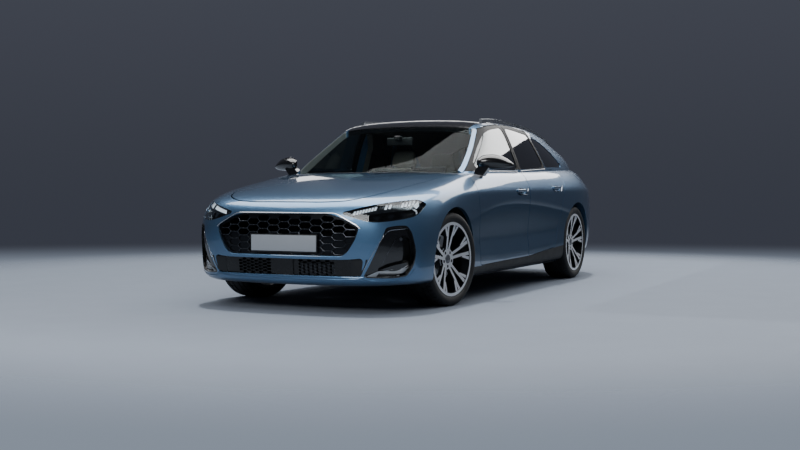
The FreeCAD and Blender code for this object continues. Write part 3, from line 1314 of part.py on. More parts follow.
def all_nodes():
    """Every named piece of the car."""
    nodes = {}
    nodes.update(left_and_right("side_frame", side_frame()))
    doors = [with_handle(door(0), front_handle_shares), with_handle(door(1), rear_handle_shares)]
    nodes.update(left_and_right("front_door", doors[0]))
    nodes.update(left_and_right("rear_door", doors[1]))
    nodes.update(left_and_right("front_door_glass", side_glass(window_zones[0])))
    nodes.update(left_and_right("rear_door_glass", side_glass(window_zones[1])))
    nodes.update(left_and_right("door_mirror", mirror_head()))
    nodes["quarter_glass"] = pair(side_glass(quarter_zone))
    nodes["windshield"] = screen(screen_zone)
    nodes["rear_glass"] = screen(rear_screen_zone)
    nodes["bonnet"] = bonnet()
    nodes["cowl_panel"] = cowl()
    nodes["front_fenders"] = pair(fender())
    nodes["front_bumper"] = front_bumper()
    nodes["grille"] = grille()
    nodes["lower_intake"] = intake()
    nodes["air_curtains"] = pair(air_curtain())
    nodes["headlamp_housings"] = pair(headlamp_housing())
    nodes["headlamp_lenses"] = pair(headlamp_lens())
    nodes["rear_bumper"] = rear_bumper()
    nodes["rear_diffuser"] = diffuser()
    nodes["tail_lamps"] = pair(tail_lamp())
    nodes["tailgate"] = tailgate()
    nodes["light_strip"] = light_strip()
    nodes["sill_trims"] = pair(sill_trim())
    nodes["roof_panel"] = roof_panel()
    nodes["roof_rails"] = pair(roof_rail())
    nodes["floor_pan"] = floor()
    nodes["engine_block"] = engine()
    nodes["dashboard"] = dashboard()
    nodes["steering_wheel"] = steering_wheel()
    seat_x = station_x(front_seat_station_share)
    front_seat = seat(seat_x, seat_width, driver_y, [driver_y])
    nodes.update(left_and_right("front_seat", front_seat))
    nodes["rear_bench"] = seat(station_x(rear_seat_station_share), bench_width, 0,
                               [-driver_y, 0, driver_y])
    nodes["front_subframe"] = front_subframe()
    nodes["rear_subframe"] = rear_subframe()
    wheel_tyre = tyre()
    wheel_rim = rim()
    upright = knuckle(caliper_angle)
    for place, axle_x, steered in (("front", front_axle_x, True), ("rear", rear_axle_x, False)):
        for side in ("left", "right"):
            nodes[place + "_tyre_" + side] = at_wheel(wheel_tyre, axle_x, steered, side)
            nodes[place + "_rim_" + side] = at_wheel(wheel_rim, axle_x, steered, side)
            if steered:
                nodes["steering_knuckle_" + side] = at_wheel(upright, axle_x, True, side)
    return nodes


os.makedirs("parts", exist_ok=True)
for name, shape in all_nodes().items():
    shape.exportStep("parts/" + name + ".step")
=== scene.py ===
# %% [markdown]
# # A station wagon in a photo studio
# The car's solids are already built and packed. This script gives them their looks: paint,
# glass, rubber, cloth and light. Each step says what the piece is on the real car, and why
# it is made the way it is.

# %% Load the car
import math

import bmesh
import bpy
from mathutils import Matrix, Vector
from mathutils.bvhtree import BVHTree
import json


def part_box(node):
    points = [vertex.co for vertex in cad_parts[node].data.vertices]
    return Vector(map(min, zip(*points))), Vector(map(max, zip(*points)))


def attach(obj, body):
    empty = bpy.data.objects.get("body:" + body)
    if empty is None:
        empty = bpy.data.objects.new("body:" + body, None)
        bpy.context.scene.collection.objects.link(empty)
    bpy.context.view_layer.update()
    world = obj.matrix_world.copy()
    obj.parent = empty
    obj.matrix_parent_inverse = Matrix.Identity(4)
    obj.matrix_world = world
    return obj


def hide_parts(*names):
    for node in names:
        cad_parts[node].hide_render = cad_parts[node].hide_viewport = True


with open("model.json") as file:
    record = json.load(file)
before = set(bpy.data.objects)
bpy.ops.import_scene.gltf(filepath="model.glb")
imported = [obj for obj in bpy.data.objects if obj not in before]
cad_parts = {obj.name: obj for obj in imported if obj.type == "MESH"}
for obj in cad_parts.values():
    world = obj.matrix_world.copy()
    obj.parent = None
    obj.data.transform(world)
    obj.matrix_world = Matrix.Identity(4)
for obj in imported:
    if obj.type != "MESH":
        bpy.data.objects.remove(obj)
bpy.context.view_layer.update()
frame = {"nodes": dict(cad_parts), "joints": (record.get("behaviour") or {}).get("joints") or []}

# %% [markdown]
# ## The camera
# The photo was taken from the car's left front at about knee to hip height with a short
# telephoto lens. Blender aims a camera along its own -Z, so the direction that it should
# look in is turned into a rotation.

# %% Camera
camera_place = Vector((9.216, 4.197, 0.857))
camera_heading = math.radians(205.90)
camera_pitch = math.radians(-1.86)

camera_data = bpy.data.cameras.new("camera")
camera_data.lens = 52.09
camera_data.sensor_width = 36
camera = bpy.data.objects.new("camera", camera_data)
look = Vector((math.cos(camera_heading) * math.cos(camera_pitch),
               math.sin(camera_heading) * math.cos(camera_pitch), math.sin(camera_pitch)))
camera.location = camera_place
camera.rotation_euler = look.to_track_quat("-Z", "Y").to_euler()
bpy.context.scene.collection.objects.link(camera)
bpy.context.scene.camera = camera
print("camera at", tuple(round(v, 2) for v in camera_place))

# %% [markdown]
# ## Colours and nodes
# Paint charts give colours as sRGB hex values, but a shader computes with light, so every
# colour goes through one function that undoes the sRGB curve. A second small function adds
# a shader node, sets it and links it, and all materials are written with it.


# %% Helpers for materials
def colour(hex_value):
    """Linear colour from an sRGB hex value such as 3f6a92."""
    parts = [int(hex_value[k:k + 2], 16) / 255 for k in (0, 2, 4)]
    linear = [c / 12.92 if c <= 0.04045 else ((c + 0.055) / 1.055) ** 2.4 for c in parts]
    return (*linear, 1.0)


def add(tree, kind, settings=None, values=None, links=None):
    """One node with its settings, its socket values and its links."""
    node = tree.nodes.new(kind)
    for name, value in (settings or {}).items():
        setattr(node, name, value)
    for name, value in (values or {}).items():
        node.inputs[name].default_value = value
    for name, socket in (links or {}).items():
        tree.links.new(socket, node.inputs[name])
    return node


def start_material(name):
    """Empty material: its tree, its output node and the object's own coordinates."""
    material = bpy.data.materials.new(name)
    material.use_nodes = True
    tree = material.node_tree
    tree.nodes.clear()
    output = tree.nodes.new("ShaderNodeOutputMaterial")
    place = tree.nodes.new("ShaderNodeTexCoord").outputs["Object"]
    return material, tree, output, place


def finish_surface(tree, output, values, links=None):
    """Principled surface joined to the output."""
    surface = add(tree, "ShaderNodeBsdfPrincipled", None, values, links)
    tree.links.new(surface.outputs["BSDF"], output.inputs["Surface"])
    return surface


# %% [markdown]
# ## Materials
# ### Metallic paint
# Car paint is a base coat full of aluminium flakes under a clear lacquer. The flakes make the
# colour bright where it faces a light and dark where it turns away, and the lacquer adds a
# second, sharp reflection. A high metallic value with middling roughness is the flake layer,
# and the coat is the lacquer. Real flakes are 0.05 mm, too fine to show, so the flake noise
# is drawn at 0.9 mm and very faint. Lacquer also shows a slight waviness, orange peel, which
# is a faint bump 8 mm across.

# %% Paint
flake_size = 0.9e-3
orange_peel_size = 8e-3


def paint(name, base, dark, metallic, roughness, above=None):
    """Lacquered paint. above is (height, rise along X, hex) for frames painted black."""
    material, tree, output, place = start_material(name)
    flakes = add(tree, "ShaderNodeTexVoronoi", None, {"Scale": 1 / flake_size},
                 {"Vector": place})
    shade = add(tree, "ShaderNodeMapRange", None, {"To Min": 0.82, "To Max": 1.18},
                {"Value": flakes.outputs["Color"]})
    facing = add(tree, "ShaderNodeLayerWeight", None, {"Blend": 0.35})
    tone = add(tree, "ShaderNodeMix", {"data_type": "RGBA"}, {"A": colour(base), "B": colour(dark)},
               {"Factor": facing.outputs["Facing"]})
    tint = add(tree, "ShaderNodeMix", {"data_type": "RGBA", "blend_type": "MULTIPLY"},
               {"Factor": 1.0}, {"A": tone.outputs["Result"], "B": shade.outputs["Result"]})
    peel = add(tree, "ShaderNodeTexNoise", None, {"Scale": 1 / orange_peel_size, "Detail": 1.0},
               {"Vector": place})
    bump = add(tree, "ShaderNodeBump", None, {"Strength": 0.02, "Distance": 0.0006},
               {"Height": peel.outputs["Fac"]})
    if above:
        height, rise, hex_value = above
        parts = add(tree, "ShaderNodeSeparateXYZ", None, None, {"Vector": place})
        level = add(tree, "ShaderNodeMath", {"operation": "MULTIPLY_ADD"},
                    {1: rise, 2: height}, {0: parts.outputs["X"]})
        higher = add(tree, "ShaderNodeMath", {"operation": "GREATER_THAN"}, None,
                     {0: parts.outputs["Z"], 1: level.outputs[0]})
    lacquered = finish_surface(tree, output, {"Metallic": metallic, "Roughness": roughness,
                                              "Coat Weight": 1.0, "Coat Roughness": 0.03},
                               {"Base Color": tint.outputs["Result"],
                                "Normal": bump.outputs["Normal"]})
    if above:
        satin = add(tree, "ShaderNodeBsdfPrincipled", None,
                    {"Base Color": colour(hex_value), "Roughness": 0.5,
                     "Specular IOR Level": 0.15})
        either = add(tree, "ShaderNodeMixShader", None, None,
                     {"Fac": higher.outputs[0], 1: lacquered.outputs[0], 2: satin.outputs[0]})
        tree.links.new(either.outputs[0], output.inputs["Surface"])
    return material


body_paint = paint("metallic_blue_paint", "5f86aa", "1f3a55", 0.82, 0.36)
door_paint = paint("metallic_blue_paint_with_black_frame", "5f86aa", "1f3a55", 0.82, 0.36,
                   (1.005, -0.0265, "060708"))
black_paint = paint("gloss_black_paint", "08090a", "050506", 0.0, 0.22)
print("paints", body_paint.name, door_paint.name, black_paint.name)

# %% [markdown]
# ### Glass
# Laminated and toughened glass is clear with a faint green edge, and the rear windows are
# tinted dark. Real glass bends light twice and lets it out unbent, so for a thin pane a mix of
# a transparent and a glossy shader is closer than refraction, and much quicker. Glass mirrors
# 4 percent of what meets it straight on, and the share rises with the fifth power of the
# slant. The Fresnel node would make the pane's back face a full mirror, so the share is
# worked out here. The photographer's filter took most of the glare off the windshield.

# %% Glass
straight_share = 0.04


def glass(name, tint, lift):
    """Thin pane: tinted see-through with a mirror that grows with the slant."""
    material, tree, output, place = start_material(name)
    clear = add(tree, "ShaderNodeBsdfTransparent", None, {"Color": colour(tint)})
    mirror = add(tree, "ShaderNodeBsdfGlossy", None, {"Color": colour("ffffff"),
                                                      "Roughness": 0.02})
    facing = add(tree, "ShaderNodeLayerWeight", None, {"Blend": 0.5})
    slant = add(tree, "ShaderNodeMath", {"operation": "POWER"}, {1: 5.0},
                {0: facing.outputs["Facing"]})
    share = add(tree, "ShaderNodeMath", {"operation": "MULTIPLY_ADD", "use_clamp": True},
                {1: (1 - straight_share) * lift, 2: straight_share * lift},
                {0: slant.outputs[0]})
    mixed = add(tree, "ShaderNodeMixShader", None, None,
                {"Fac": share.outputs[0], 1: clear.outputs[0], 2: mirror.outputs[0]})
    tree.links.new(mixed.outputs[0], output.inputs["Surface"])
    return material


clear_glass = glass("laminated_clear_glass", "e6ecec", lift=0.11)
side_glass = glass("toughened_side_glass", "9aa6a8", lift=1.8)
tinted_glass = glass("tinted_privacy_glass", "30353a", lift=1.8)
lens_glass = glass("polycarbonate_lens", "eef3f6", lift=0.6)
print("panes", clear_glass.name, side_glass.name, tinted_glass.name, lens_glass.name)

# %% [markdown]
# ### Plastics, rubber, leather and cloth
# These differ in colour, gloss and the size of their grain. One function covers them: a noise
# at the grain's real size drives a bump and a slight change of shade. Interior grain is about
# 1 mm, leather creases 3 mm, tyre rubber is matt with fine moulding marks.

# %% Grained materials
def grained(name, base, dark, roughness, grain, depth, metallic=0.0, cells=False, sheen=0.0):
    """Moulded or woven surface: two shades, a grain of real size and a bump from it."""
    material, tree, output, place = start_material(name)
    kind = "ShaderNodeTexVoronoi" if cells else "ShaderNodeTexNoise"
    pattern = add(tree, kind, None, {"Scale": 1 / grain}, {"Vector": place})
    height = pattern.outputs["Distance" if cells else "Fac"]
    patch = add(tree, "ShaderNodeTexNoise", None, {"Scale": 1 / (grain * 40), "Detail": 3.0},
                {"Vector": place})
    blend = add(tree, "ShaderNodeMath", {"operation": "MULTIPLY_ADD"}, {1: 0.5, 2: 0.0},
                {0: height})
    both = add(tree, "ShaderNodeMath", {"operation": "MULTIPLY_ADD", "use_clamp": True}, {1: 0.6},
               {0: patch.outputs["Fac"], 2: blend.outputs[0]})
    tone = add(tree, "ShaderNodeMix", {"data_type": "RGBA"}, {"A": colour(dark), "B": colour(base)},
               {"Factor": both.outputs[0]})
    bump = add(tree, "ShaderNodeBump", None, {"Strength": depth, "Distance": grain * 0.5},
               {"Height": height})
    rough = add(tree, "ShaderNodeMapRange", None, {"To Min": roughness * 0.85,
                                                   "To Max": min(roughness * 1.15, 1.0)},
                {"Value": patch.outputs["Fac"]})
    finish_surface(tree, output, {"Metallic": metallic, "Sheen Weight": sheen},
                   {"Base Color": tone.outputs["Result"], "Normal": bump.outputs["Normal"],
                    "Roughness": rough.outputs["Result"]})
    return material


black_plastic = grained("moulded_black_polypropylene", "1c1e21", "101113", 0.48, 1.2e-3, 0.12)
trim_plastic = grained("soft_touch_dashboard_skin", "2a2b2e", "1c1d1f", 0.62, 1.4e-3, 0.2,
                       cells=True)
pale_trim = grained("pale_grey_pillar_cloth", "b9b8b4", "a5a4a0", 0.85, 1.0e-3, 0.2, sheen=0.2)
sill_plastic = grained("moulded_sill_polypropylene", "101113", "0b0c0e", 0.6, 1.2e-3, 0.1)
tyre_rubber = grained("tyre_rubber", "1b1c1e", "111214", 0.72, 2.0e-3, 0.15)
seat_leather = grained("pale_grey_seat_leather", "a9a49b", "8f8a82", 0.5, 3.0e-3, 0.25, cells=True)
dark_leather = grained("black_wheel_leather", "1f1f20", "141415", 0.45, 2.0e-3, 0.2, cells=True)
cast_metal = grained("sand_cast_aluminium", "8b8e92", "6e7175", 0.55, 2.5e-3, 0.3, metallic=0.8)
underbody = grained("stone_chip_coating", "17191b", "0f1011", 0.8, 3.0e-3, 0.35)
satin_rail = grained("satin_anodised_rail", "9a9ea4", "82868c", 0.28, 0.8e-3, 0.04, metallic=0.9)
dark_chrome = grained("dark_chrome", "26282c", "1c1e21", 0.3, 1.0e-3, 0.01, metallic=0.8)
# Paler chrome on the grille's cell edges: a painted highlight.
cell_highlight_chrome = grained("chrome_with_painted_cell_highlight", "6a6f76", "5a5f66", 0.26, 1.0e-3, 0.01, metallic=1.0)
gloss_abs = grained("gloss_black_abs", "0b0c0e", "070809", 0.28, 1.0e-3, 0.03)
bright_trim = grained("bright_anodised_trim", "c9cdd2", "b4b8bd", 0.2, 1.0e-3, 0.02, metallic=1.0)
blank_plate = grained("painted_blank_plate", "aeb4ba", "a2a8ae", 0.4, 4.0e-3, 0.02)
mirror_coat = grained("silvered_mirror", "d9dde2", "d0d4d9", 0.02, 1.0e-3, 0.0, metallic=1.0)
print("grained finishes", len([m for m in bpy.data.materials if m.use_nodes]))

# %% [markdown]
# ### Faces that look one way outside and another inside
# A door is one thick panel: painted outside, trimmed inside. The face's own normal says
# which side it is, so the material mixes two surfaces by the part of the normal that points
# to the cabin.

# %% Two-sided panels
def two_sided(name, outer, inner_hex, inward, start=0.35):
    """Copy of a painted material whose faces that look along inward are trim."""
    material = outer.copy()
    material.name = name
    tree = material.node_tree
    output = next(n for n in tree.nodes if n.type == "OUTPUT_MATERIAL")
    painted = output.inputs["Surface"].links[0].from_socket
    coords = tree.nodes.new("ShaderNodeTexCoord")
    along = add(tree, "ShaderNodeVectorMath", {"operation": "DOT_PRODUCT"}, {1: inward},
                {0: coords.outputs["Normal"]})
    inside = add(tree, "ShaderNodeMath", {"operation": "GREATER_THAN"}, {1: start},
                 {0: along.outputs["Value"]})
    grain = add(tree, "ShaderNodeTexVoronoi", None, {"Scale": 1 / 1.4e-3},
                {"Vector": coords.outputs["Object"]})
    bump = add(tree, "ShaderNodeBump", None, {"Strength": 0.2, "Distance": 0.7e-3},
               {"Height": grain.outputs["Distance"]})
    trim = add(tree, "ShaderNodeBsdfPrincipled", None,
               {"Base Color": colour(inner_hex), "Roughness": 0.7},
               {"Normal": bump.outputs["Normal"]})
    mixed = add(tree, "ShaderNodeMixShader", None, None,
                {"Fac": inside.outputs[0], 1: painted, 2: trim.outputs[0]})
    tree.links.new(mixed.outputs[0], output.inputs["Surface"])
    return material


sides = {"left": 1, "right": -1}
door_finish = {}
frame_finish = {}
for side, sign in sides.items():
    door_finish[side] = two_sided("lacquered_door_with_trim_" + side, door_paint, "232427",
                                  (0, -sign, 0))
    frame_finish[side] = two_sided("lacquered_side_frame_with_trim_" + side, body_paint, "b5b4b0",
                                   (0, -sign, 0))
roof_finish = two_sided("black_roof_with_headliner", black_paint, "bdbcb8", (0, 0, -1))
tail_finish = two_sided("lacquered_tailgate_with_trim", body_paint, "26272a", (0.8, 0, -0.6))
print("two-sided", door_finish["left"].name, roof_finish.name)

# %% [markdown]
# ### Red lens
# Tail lamps have a clear red outer skin over rows of small prisms. The prisms are vertical
# ribs 4 mm apart that shift the reflection, under a smooth, glossy coat. The red is painted
# darker in the troughs and brighter on the crests: painted shade and painted highlight.

# %% Red lens
rib_pitch = 4e-3
material, tree, output, place = start_material("red_acrylic_lamp_lens")
ribs = add(tree, "ShaderNodeTexWave", {"wave_type": "BANDS", "bands_direction": "Y"},
           {"Scale": 1 / rib_pitch / 6.28, "Distortion": 0.0}, {"Vector": place})
rib_bump = add(tree, "ShaderNodeBump", None, {"Strength": 0.5, "Distance": 1e-3},
               {"Height": ribs.outputs["Fac"]})
# Painted shade in the rib troughs and painted highlight on the rib crests.
rib_painted_light = add(tree, "ShaderNodeMix", {"data_type": "RGBA"},
               {"A": colour("4a0508"), "B": colour("a3141a")}, {"Factor": ribs.outputs["Fac"]})
finish_surface(tree, output, {"Roughness": 0.25, "Coat Weight": 1.0, "Coat Roughness": 0.03},
               {"Base Color": rib_painted_light.outputs["Result"], "Normal": rib_bump.outputs["Normal"]})
red_lens = material
print("ribs per metre", round(1 / rib_pitch))

# %% [markdown]
# ### Wheels
# The rims are cast, painted dark and then turned on a lathe, which cuts the spokes' front
# faces bright. So the faces that look along the axle near the outside are bright metal with
# fine turning rings, and all others are dark paint.

# %% Wheel finish
joint_of = {joint["name"]: joint for joint in frame["joints"]}
ring_pitch = 1.5e-3


def machined_rim(name, centre, axis):
    """Dark painted rim whose outward faces are lathe-cut."""
    material, tree, output, place = start_material(name)
    coords = tree.nodes.new("ShaderNodeTexCoord")
    facing = add(tree, "ShaderNodeVectorMath", {"operation": "DOT_PRODUCT"}, {1: axis},
                 {0: coords.outputs["Normal"]})
    cut = add(tree, "ShaderNodeMapRange", None, {"From Min": 0.80, "From Max": 0.86},
              {"Value": facing.outputs["Value"]})
    arm = add(tree, "ShaderNodeVectorMath", {"operation": "SUBTRACT"}, {1: centre}, {0: place})
    out = add(tree, "ShaderNodeVectorMath", {"operation": "DOT_PRODUCT"}, {1: axis},
              {0: arm.outputs["Vector"]})
    front = add(tree, "ShaderNodeMath", {"operation": "GREATER_THAN"}, {1: rim_front_depth},
                {0: out.outputs["Value"]})
    cut_front = add(tree, "ShaderNodeMath", {"operation": "MULTIPLY"}, None,
                    {0: cut.outputs["Result"], 1: front.outputs[0]})
    radius = add(tree, "ShaderNodeVectorMath", {"operation": "LENGTH"}, None,
                 {0: arm.outputs["Vector"]})
    turns = add(tree, "ShaderNodeMath", {"operation": "MULTIPLY"}, {1: 6.28 / ring_pitch},
                {0: radius.outputs["Value"]})
    wave = add(tree, "ShaderNodeMath", {"operation": "SINE"}, None, {0: turns.outputs[0]})
    bump = add(tree, "ShaderNodeBump", None, {"Strength": 0.15, "Distance": 2e-4},
               {"Height": wave.outputs[0]})
    bright = add(tree, "ShaderNodeBsdfPrincipled", None,
                 {"Base Color": colour("f2f4f6"), "Metallic": 0.4, "Roughness": 0.36},
                 {"Normal": bump.outputs["Normal"]})
    dark = add(tree, "ShaderNodeBsdfPrincipled", None,
               {"Base Color": colour("1d2024"), "Metallic": 0.4, "Roughness": 0.32,
                "Coat Weight": 0.6, "Coat Roughness": 0.05})
    mixed = add(tree, "ShaderNodeMixShader", None, None,
                {"Fac": cut_front.outputs[0], 1: dark.outputs[0], 2: bright.outputs[0]})
    tree.links.new(mixed.outputs[0], output.inputs["Surface"])
    return material


rim_front_depth = -0.2
tyre_width = 0.245
wheel_frames = {}
for end in ("front", "rear"):
    for side, sign in sides.items():
        joint = joint_of[f"{end}_wheel_{side}_spin"]
        axis = Vector(joint["axis"]).normalized()
        if axis.y * sign < 0:
            axis.negate()
        pivot = Vector(joint["pos_m"])
        tyre_mesh = frame["nodes"][f"{end}_tyre_{side}"].data
        outer_face = max((v.co - pivot).dot(axis) for v in tyre_mesh.vertices)
        wheel_frames[end, side] = (pivot + axis * (outer_face - tyre_width / 2), axis)
print("wheel middles", {k: tuple(round(v, 3) for v in c) for k, (c, a) in wheel_frames.items()})

# %% [markdown]
# ## Dressing the car's own solids
# Each solid keeps its shape and gets its finish. A table says which.

# %% Finishes by solid
finish_of = {
    "front_fenders": body_paint, "front_bumper": body_paint, "rear_bumper": body_paint,
    "bonnet": body_paint, "roof_panel": roof_finish, "tailgate": tail_finish,
    "windshield": clear_glass, "quarter_glass": tinted_glass, "rear_glass": tinted_glass,
    "cowl_panel": black_plastic, "grille": dark_chrome, "lower_intake": gloss_abs,
    "air_curtains": black_paint, "headlamp_housings": black_paint,
    "headlamp_lenses": lens_glass, "rear_diffuser": black_plastic, "tail_lamps": red_lens,
    "light_strip": red_lens, "sill_trims": sill_plastic, "roof_rails": satin_rail,
    "floor_pan": underbody, "engine_block": cast_metal, "dashboard": trim_plastic,
    "steering_wheel": dark_leather, "rear_bench": seat_leather,
    "front_subframe": cast_metal, "rear_subframe": cast_metal}
for side in sides:
    finish_of.update({
        "side_frame_" + side: frame_finish[side], "front_door_" + side: door_finish[side],
        "rear_door_" + side: door_finish[side], "front_door_glass_" + side: side_glass,
        "rear_door_glass_" + side: tinted_glass, "door_mirror_" + side: black_paint,
        "front_seat_" + side: seat_leather, "steering_knuckle_" + side: cast_metal})
    for end in ("front", "rear"):
        finish_of[f"{end}_tyre_{side}"] = tyre_rubber
        finish_of[f"{end}_rim_{side}"] = machined_rim(
            f"machined_alloy_{end}_{side}", *wheel_frames[end, side])
for name, node in frame["nodes"].items():
    node.data.materials.clear()
    node.data.materials.append(finish_of[name])
print("finished solids", len(finish_of))

# %% [markdown]
# ## Tyres with tread
# A road tyre has flexing side walls that bulge past the rim, four grooves round it that lead
# water away and blocks between cross grooves at both shoulders. The ring is one profile spun
# round the axle. Every fifth step of the shoulder is then pressed in by the groove's depth, so
# the blocks are real and catch the light.

# %% Tyres
tyre_steps = 280
groove_depth = 0.007
shoulder_band, shoulder_reach, shoulder_steps = (0.0745, 0.112), 0.331, 5
rib_band, rib_reach, rib_steps = (0.034, 0.063), 0.337, 7
cut_share, cut_rim = 0.7, 0.0006
tyre_half = [(0.2560, 0.0960), (0.2600, 0.1020), (0.2680, 0.1095), (0.2740, 0.1105),
             (0.2760, 0.1135), (0.2860, 0.1185), (0.2980, 0.1222), (0.3100, 0.1215),
             (0.3200, 0.1175), (0.3290, 0.1120), (0.3340, 0.1060), (0.3365, 0.0980),
             (0.3383, 0.0860), (0.3385, 0.0740), (0.3315, 0.0730), (0.3315, 0.0650),
             (0.3390, 0.0640), (0.3395, 0.0330), (0.3325, 0.0320), (0.3325, 0.0240),
             (0.3398, 0.0230)]


def wheel_place(end, side):
    """Matrix from a wheel's own frame (Z outwards along the axle, Y up) to the car."""
    centre, axis = wheel_frames[end, side]
    up = Vector((0, 0, 1))
    ahead = up.cross(axis).normalized()
    turn = Matrix((ahead, axis.cross(ahead), axis)).transposed().to_4x4()
    return Matrix.Translation(centre) @ turn


def new_piece(name, mesh, material, body, smooth=True):
    """Object from a bmesh, with faces out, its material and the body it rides."""
    bmesh.ops.recalc_face_normals(mesh, faces=mesh.faces)
    data = bpy.data.meshes.new(name)
    mesh.to_mesh(data)
    mesh.free()
    data.materials.append(material)
    piece = bpy.data.objects.new(name, data)
    bpy.context.scene.collection.objects.link(piece)
    if smooth:
        data.polygons.foreach_set("use_smooth", [True] * len(data.polygons))
        data.set_sharp_from_angle(angle=math.radians(32))
    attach(piece, body)
    return piece


def spun(mesh, profile, steps, closed=True):
    """Ring about Z from (radius, height) pairs."""
    points = [mesh.verts.new((radius, 0, height)) for radius, height in profile]
    pairs = zip(points, points[1:] + points[:1]) if closed else zip(points, points[1:])
    edges = [mesh.edges.new(pair) for pair in pairs]
    bmesh.ops.spin(mesh, geom=points + edges, axis=(0, 0, 1), cent=(0, 0, 0), steps=steps,
                   angle=math.tau, use_merge=True)
    bmesh.ops.remove_doubles(mesh, verts=mesh.verts, dist=1e-6)


for end in ("front", "rear"):
    for side in sides:
        mesh = bmesh.new()
        mirrored_half = [(radius, -height) for radius, height in reversed(tyre_half)]
        spun(mesh, tyre_half + mirrored_half, tyre_steps)
        bmesh.ops.recalc_face_normals(mesh, faces=mesh.faces)
        blocks = []
        for face in mesh.faces:
            middle = face.calc_center_median()
            step = int(math.atan2(middle.y, middle.x) / math.tau * tyre_steps)
            reach, out = middle.xy.length, abs(middle.z)
            shoulder = shoulder_band[0] < out < shoulder_band[1] and reach > shoulder_reach
            rib = rib_band[0] < out < rib_band[1] and reach > rib_reach
            if (shoulder and step % shoulder_steps == 0) or (rib and step % rib_steps == 0):
                blocks.append(face)
        bmesh.ops.inset_individual(mesh, faces=blocks, thickness=cut_rim,
                                   depth=-groove_depth * cut_share)
        bmesh.ops.transform(mesh, matrix=wheel_place(end, side), verts=mesh.verts)
        tyre = new_piece(f"tyre_{end}_{side}", mesh, tyre_rubber, f"{end}_wheel_{side}")
        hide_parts(f"{end}_tyre_{side}")
print("tyre faces", len(tyre.data.polygons))

# %% [markdown]
# ### Hub cap and wheel bolts
# Each wheel is held by five bolts with hexagon heads in pockets, and a blank cap closes the
# hub. The heads are cones with six sides, and the cap is one profile spun round the axle.

# %% Wheel details
bolt_circle, bolt_face, bolts = 0.054, 0.064, 5
bolt_head = {"segments": 6, "radius1": 0.0088, "radius2": 0.0082, "depth": 0.010}
bolt_collar = {"segments": 24, "radius1": 0.0104, "radius2": 0.0100, "depth": 0.004}
collar_drop = Vector((0, 0, 0.0045))
cap_profile = [(0.0, 0.0722), (0.022, 0.0722), (0.0245, 0.0712), (0.0262, 0.0720),
               (0.0300, 0.0718), (0.0322, 0.0695), (0.0322, 0.0668), (0.0, 0.0668)]
cap_steps = 48
for end in ("front", "rear"):
    for side in sides:
        mesh = bmesh.new()
        for k in range(bolts):
            turn = math.tau * (k + 0.5) / bolts
            at = Vector((bolt_circle * math.sin(turn), bolt_circle * math.cos(turn), bolt_face))
            bmesh.ops.create_cone(mesh, cap_ends=True, matrix=Matrix.Translation(at), **bolt_head)
            bmesh.ops.create_cone(mesh, cap_ends=True,
                                  matrix=Matrix.Translation(at - collar_drop), **bolt_collar)
        bmesh.ops.transform(mesh, matrix=wheel_place(end, side), verts=mesh.verts)
        new_piece(f"wheel_bolts_{end}_{side}", mesh, bright_trim, f"{end}_wheel_{side}")
        mesh = bmesh.new()
        spun(mesh, cap_profile, cap_steps, closed=False)
        bmesh.ops.transform(mesh, matrix=wheel_place(end, side), verts=mesh.verts)
        new_piece(f"hub_cap_{end}_{side}", mesh, satin_rail, f"{end}_wheel_{side}")
print("wheels dressed", len(wheel_frames))

# %% [markdown]
# ## Seats
# A car seat is foam under stretched leather: a flat insert between two raised bolsters, each
# a panel of its own, sewn to the next along a pulled-in seam. Each panel starts as a gridded
# block a little smaller than the finished pad. Cloth with air pressure inside then swells it,
# and how far a point may move is capped, so the corners round off and the seams stay put.

# %% Seat pads
seat_lean = math.radians(24)
seat_cell = 0.045
bolster_width = 0.085
seam = 0.012
crease_back, crease_height = 0.52, 0.47
cushion_length, cushion_depth, cushion_lean = 0.485, 0.100, 0.05
cushion_middle = Vector((0.262, 0, -0.068))
side_cushion_length, side_cushion_depth, side_cushion_lean = 0.490, 0.125, 0.03
side_cushion_middle = Vector((0.262, 0, -0.066))
back_depth, back_height = 0.120, 0.480
side_back_depth, side_back_height = 0.135, 0.560
shoulder_depth, shoulder_height, shoulder_share = 0.100, 0.105, 0.96
headrest_size, headrest_taper = (0.080, 0.235, 0.150), 0.12
swell_limit = 0.012
swell_frames = 20


def pad(mesh, size, centre, lean, taper=0.0):
    """Gridded block of size around centre, leaning back; taper narrows it upwards."""
    low, high = Vector(size) * -0.5, Vector(size) * 0.5
    made = bmesh.ops.create_cube(mesh, size=1.0)["verts"]
    bmesh.ops.scale(mesh, vec=size, verts=made)
    edges = {edge for vert in made for edge in vert.link_edges}
    for axis in range(3):
        along = [e for e in edges if e.is_valid
                 and abs((e.verts[0].co - e.verts[1].co).normalized()[axis]) > 0.9]
        cuts = max(1, round(size[axis] / seat_cell) - 1)
        cut = bmesh.ops.subdivide_edges(mesh, edges=along, cuts=cuts, use_grid_fill=True)
        edges |= {item for item in cut["geom"] if isinstance(item, bmesh.types.BMEdge)}
        made = list({vert for e in edges if e.is_valid for vert in e.verts})
        edges = {edge for vert in made for edge in vert.link_edges}
    if taper:
        for vert in made:
            share = (vert.co.z - low.z) / size[2]
            vert.co.y *= 1 - taper * share
    bmesh.ops.smooth_vert(mesh, verts=made, factor=0.5, use_axis_x=True, use_axis_y=True,
                          use_axis_z=True)
    place = Matrix.Translation(centre) @ Matrix.Rotation(-lean, 4, "Y")
    bmesh.ops.transform(mesh, matrix=place, verts=made)


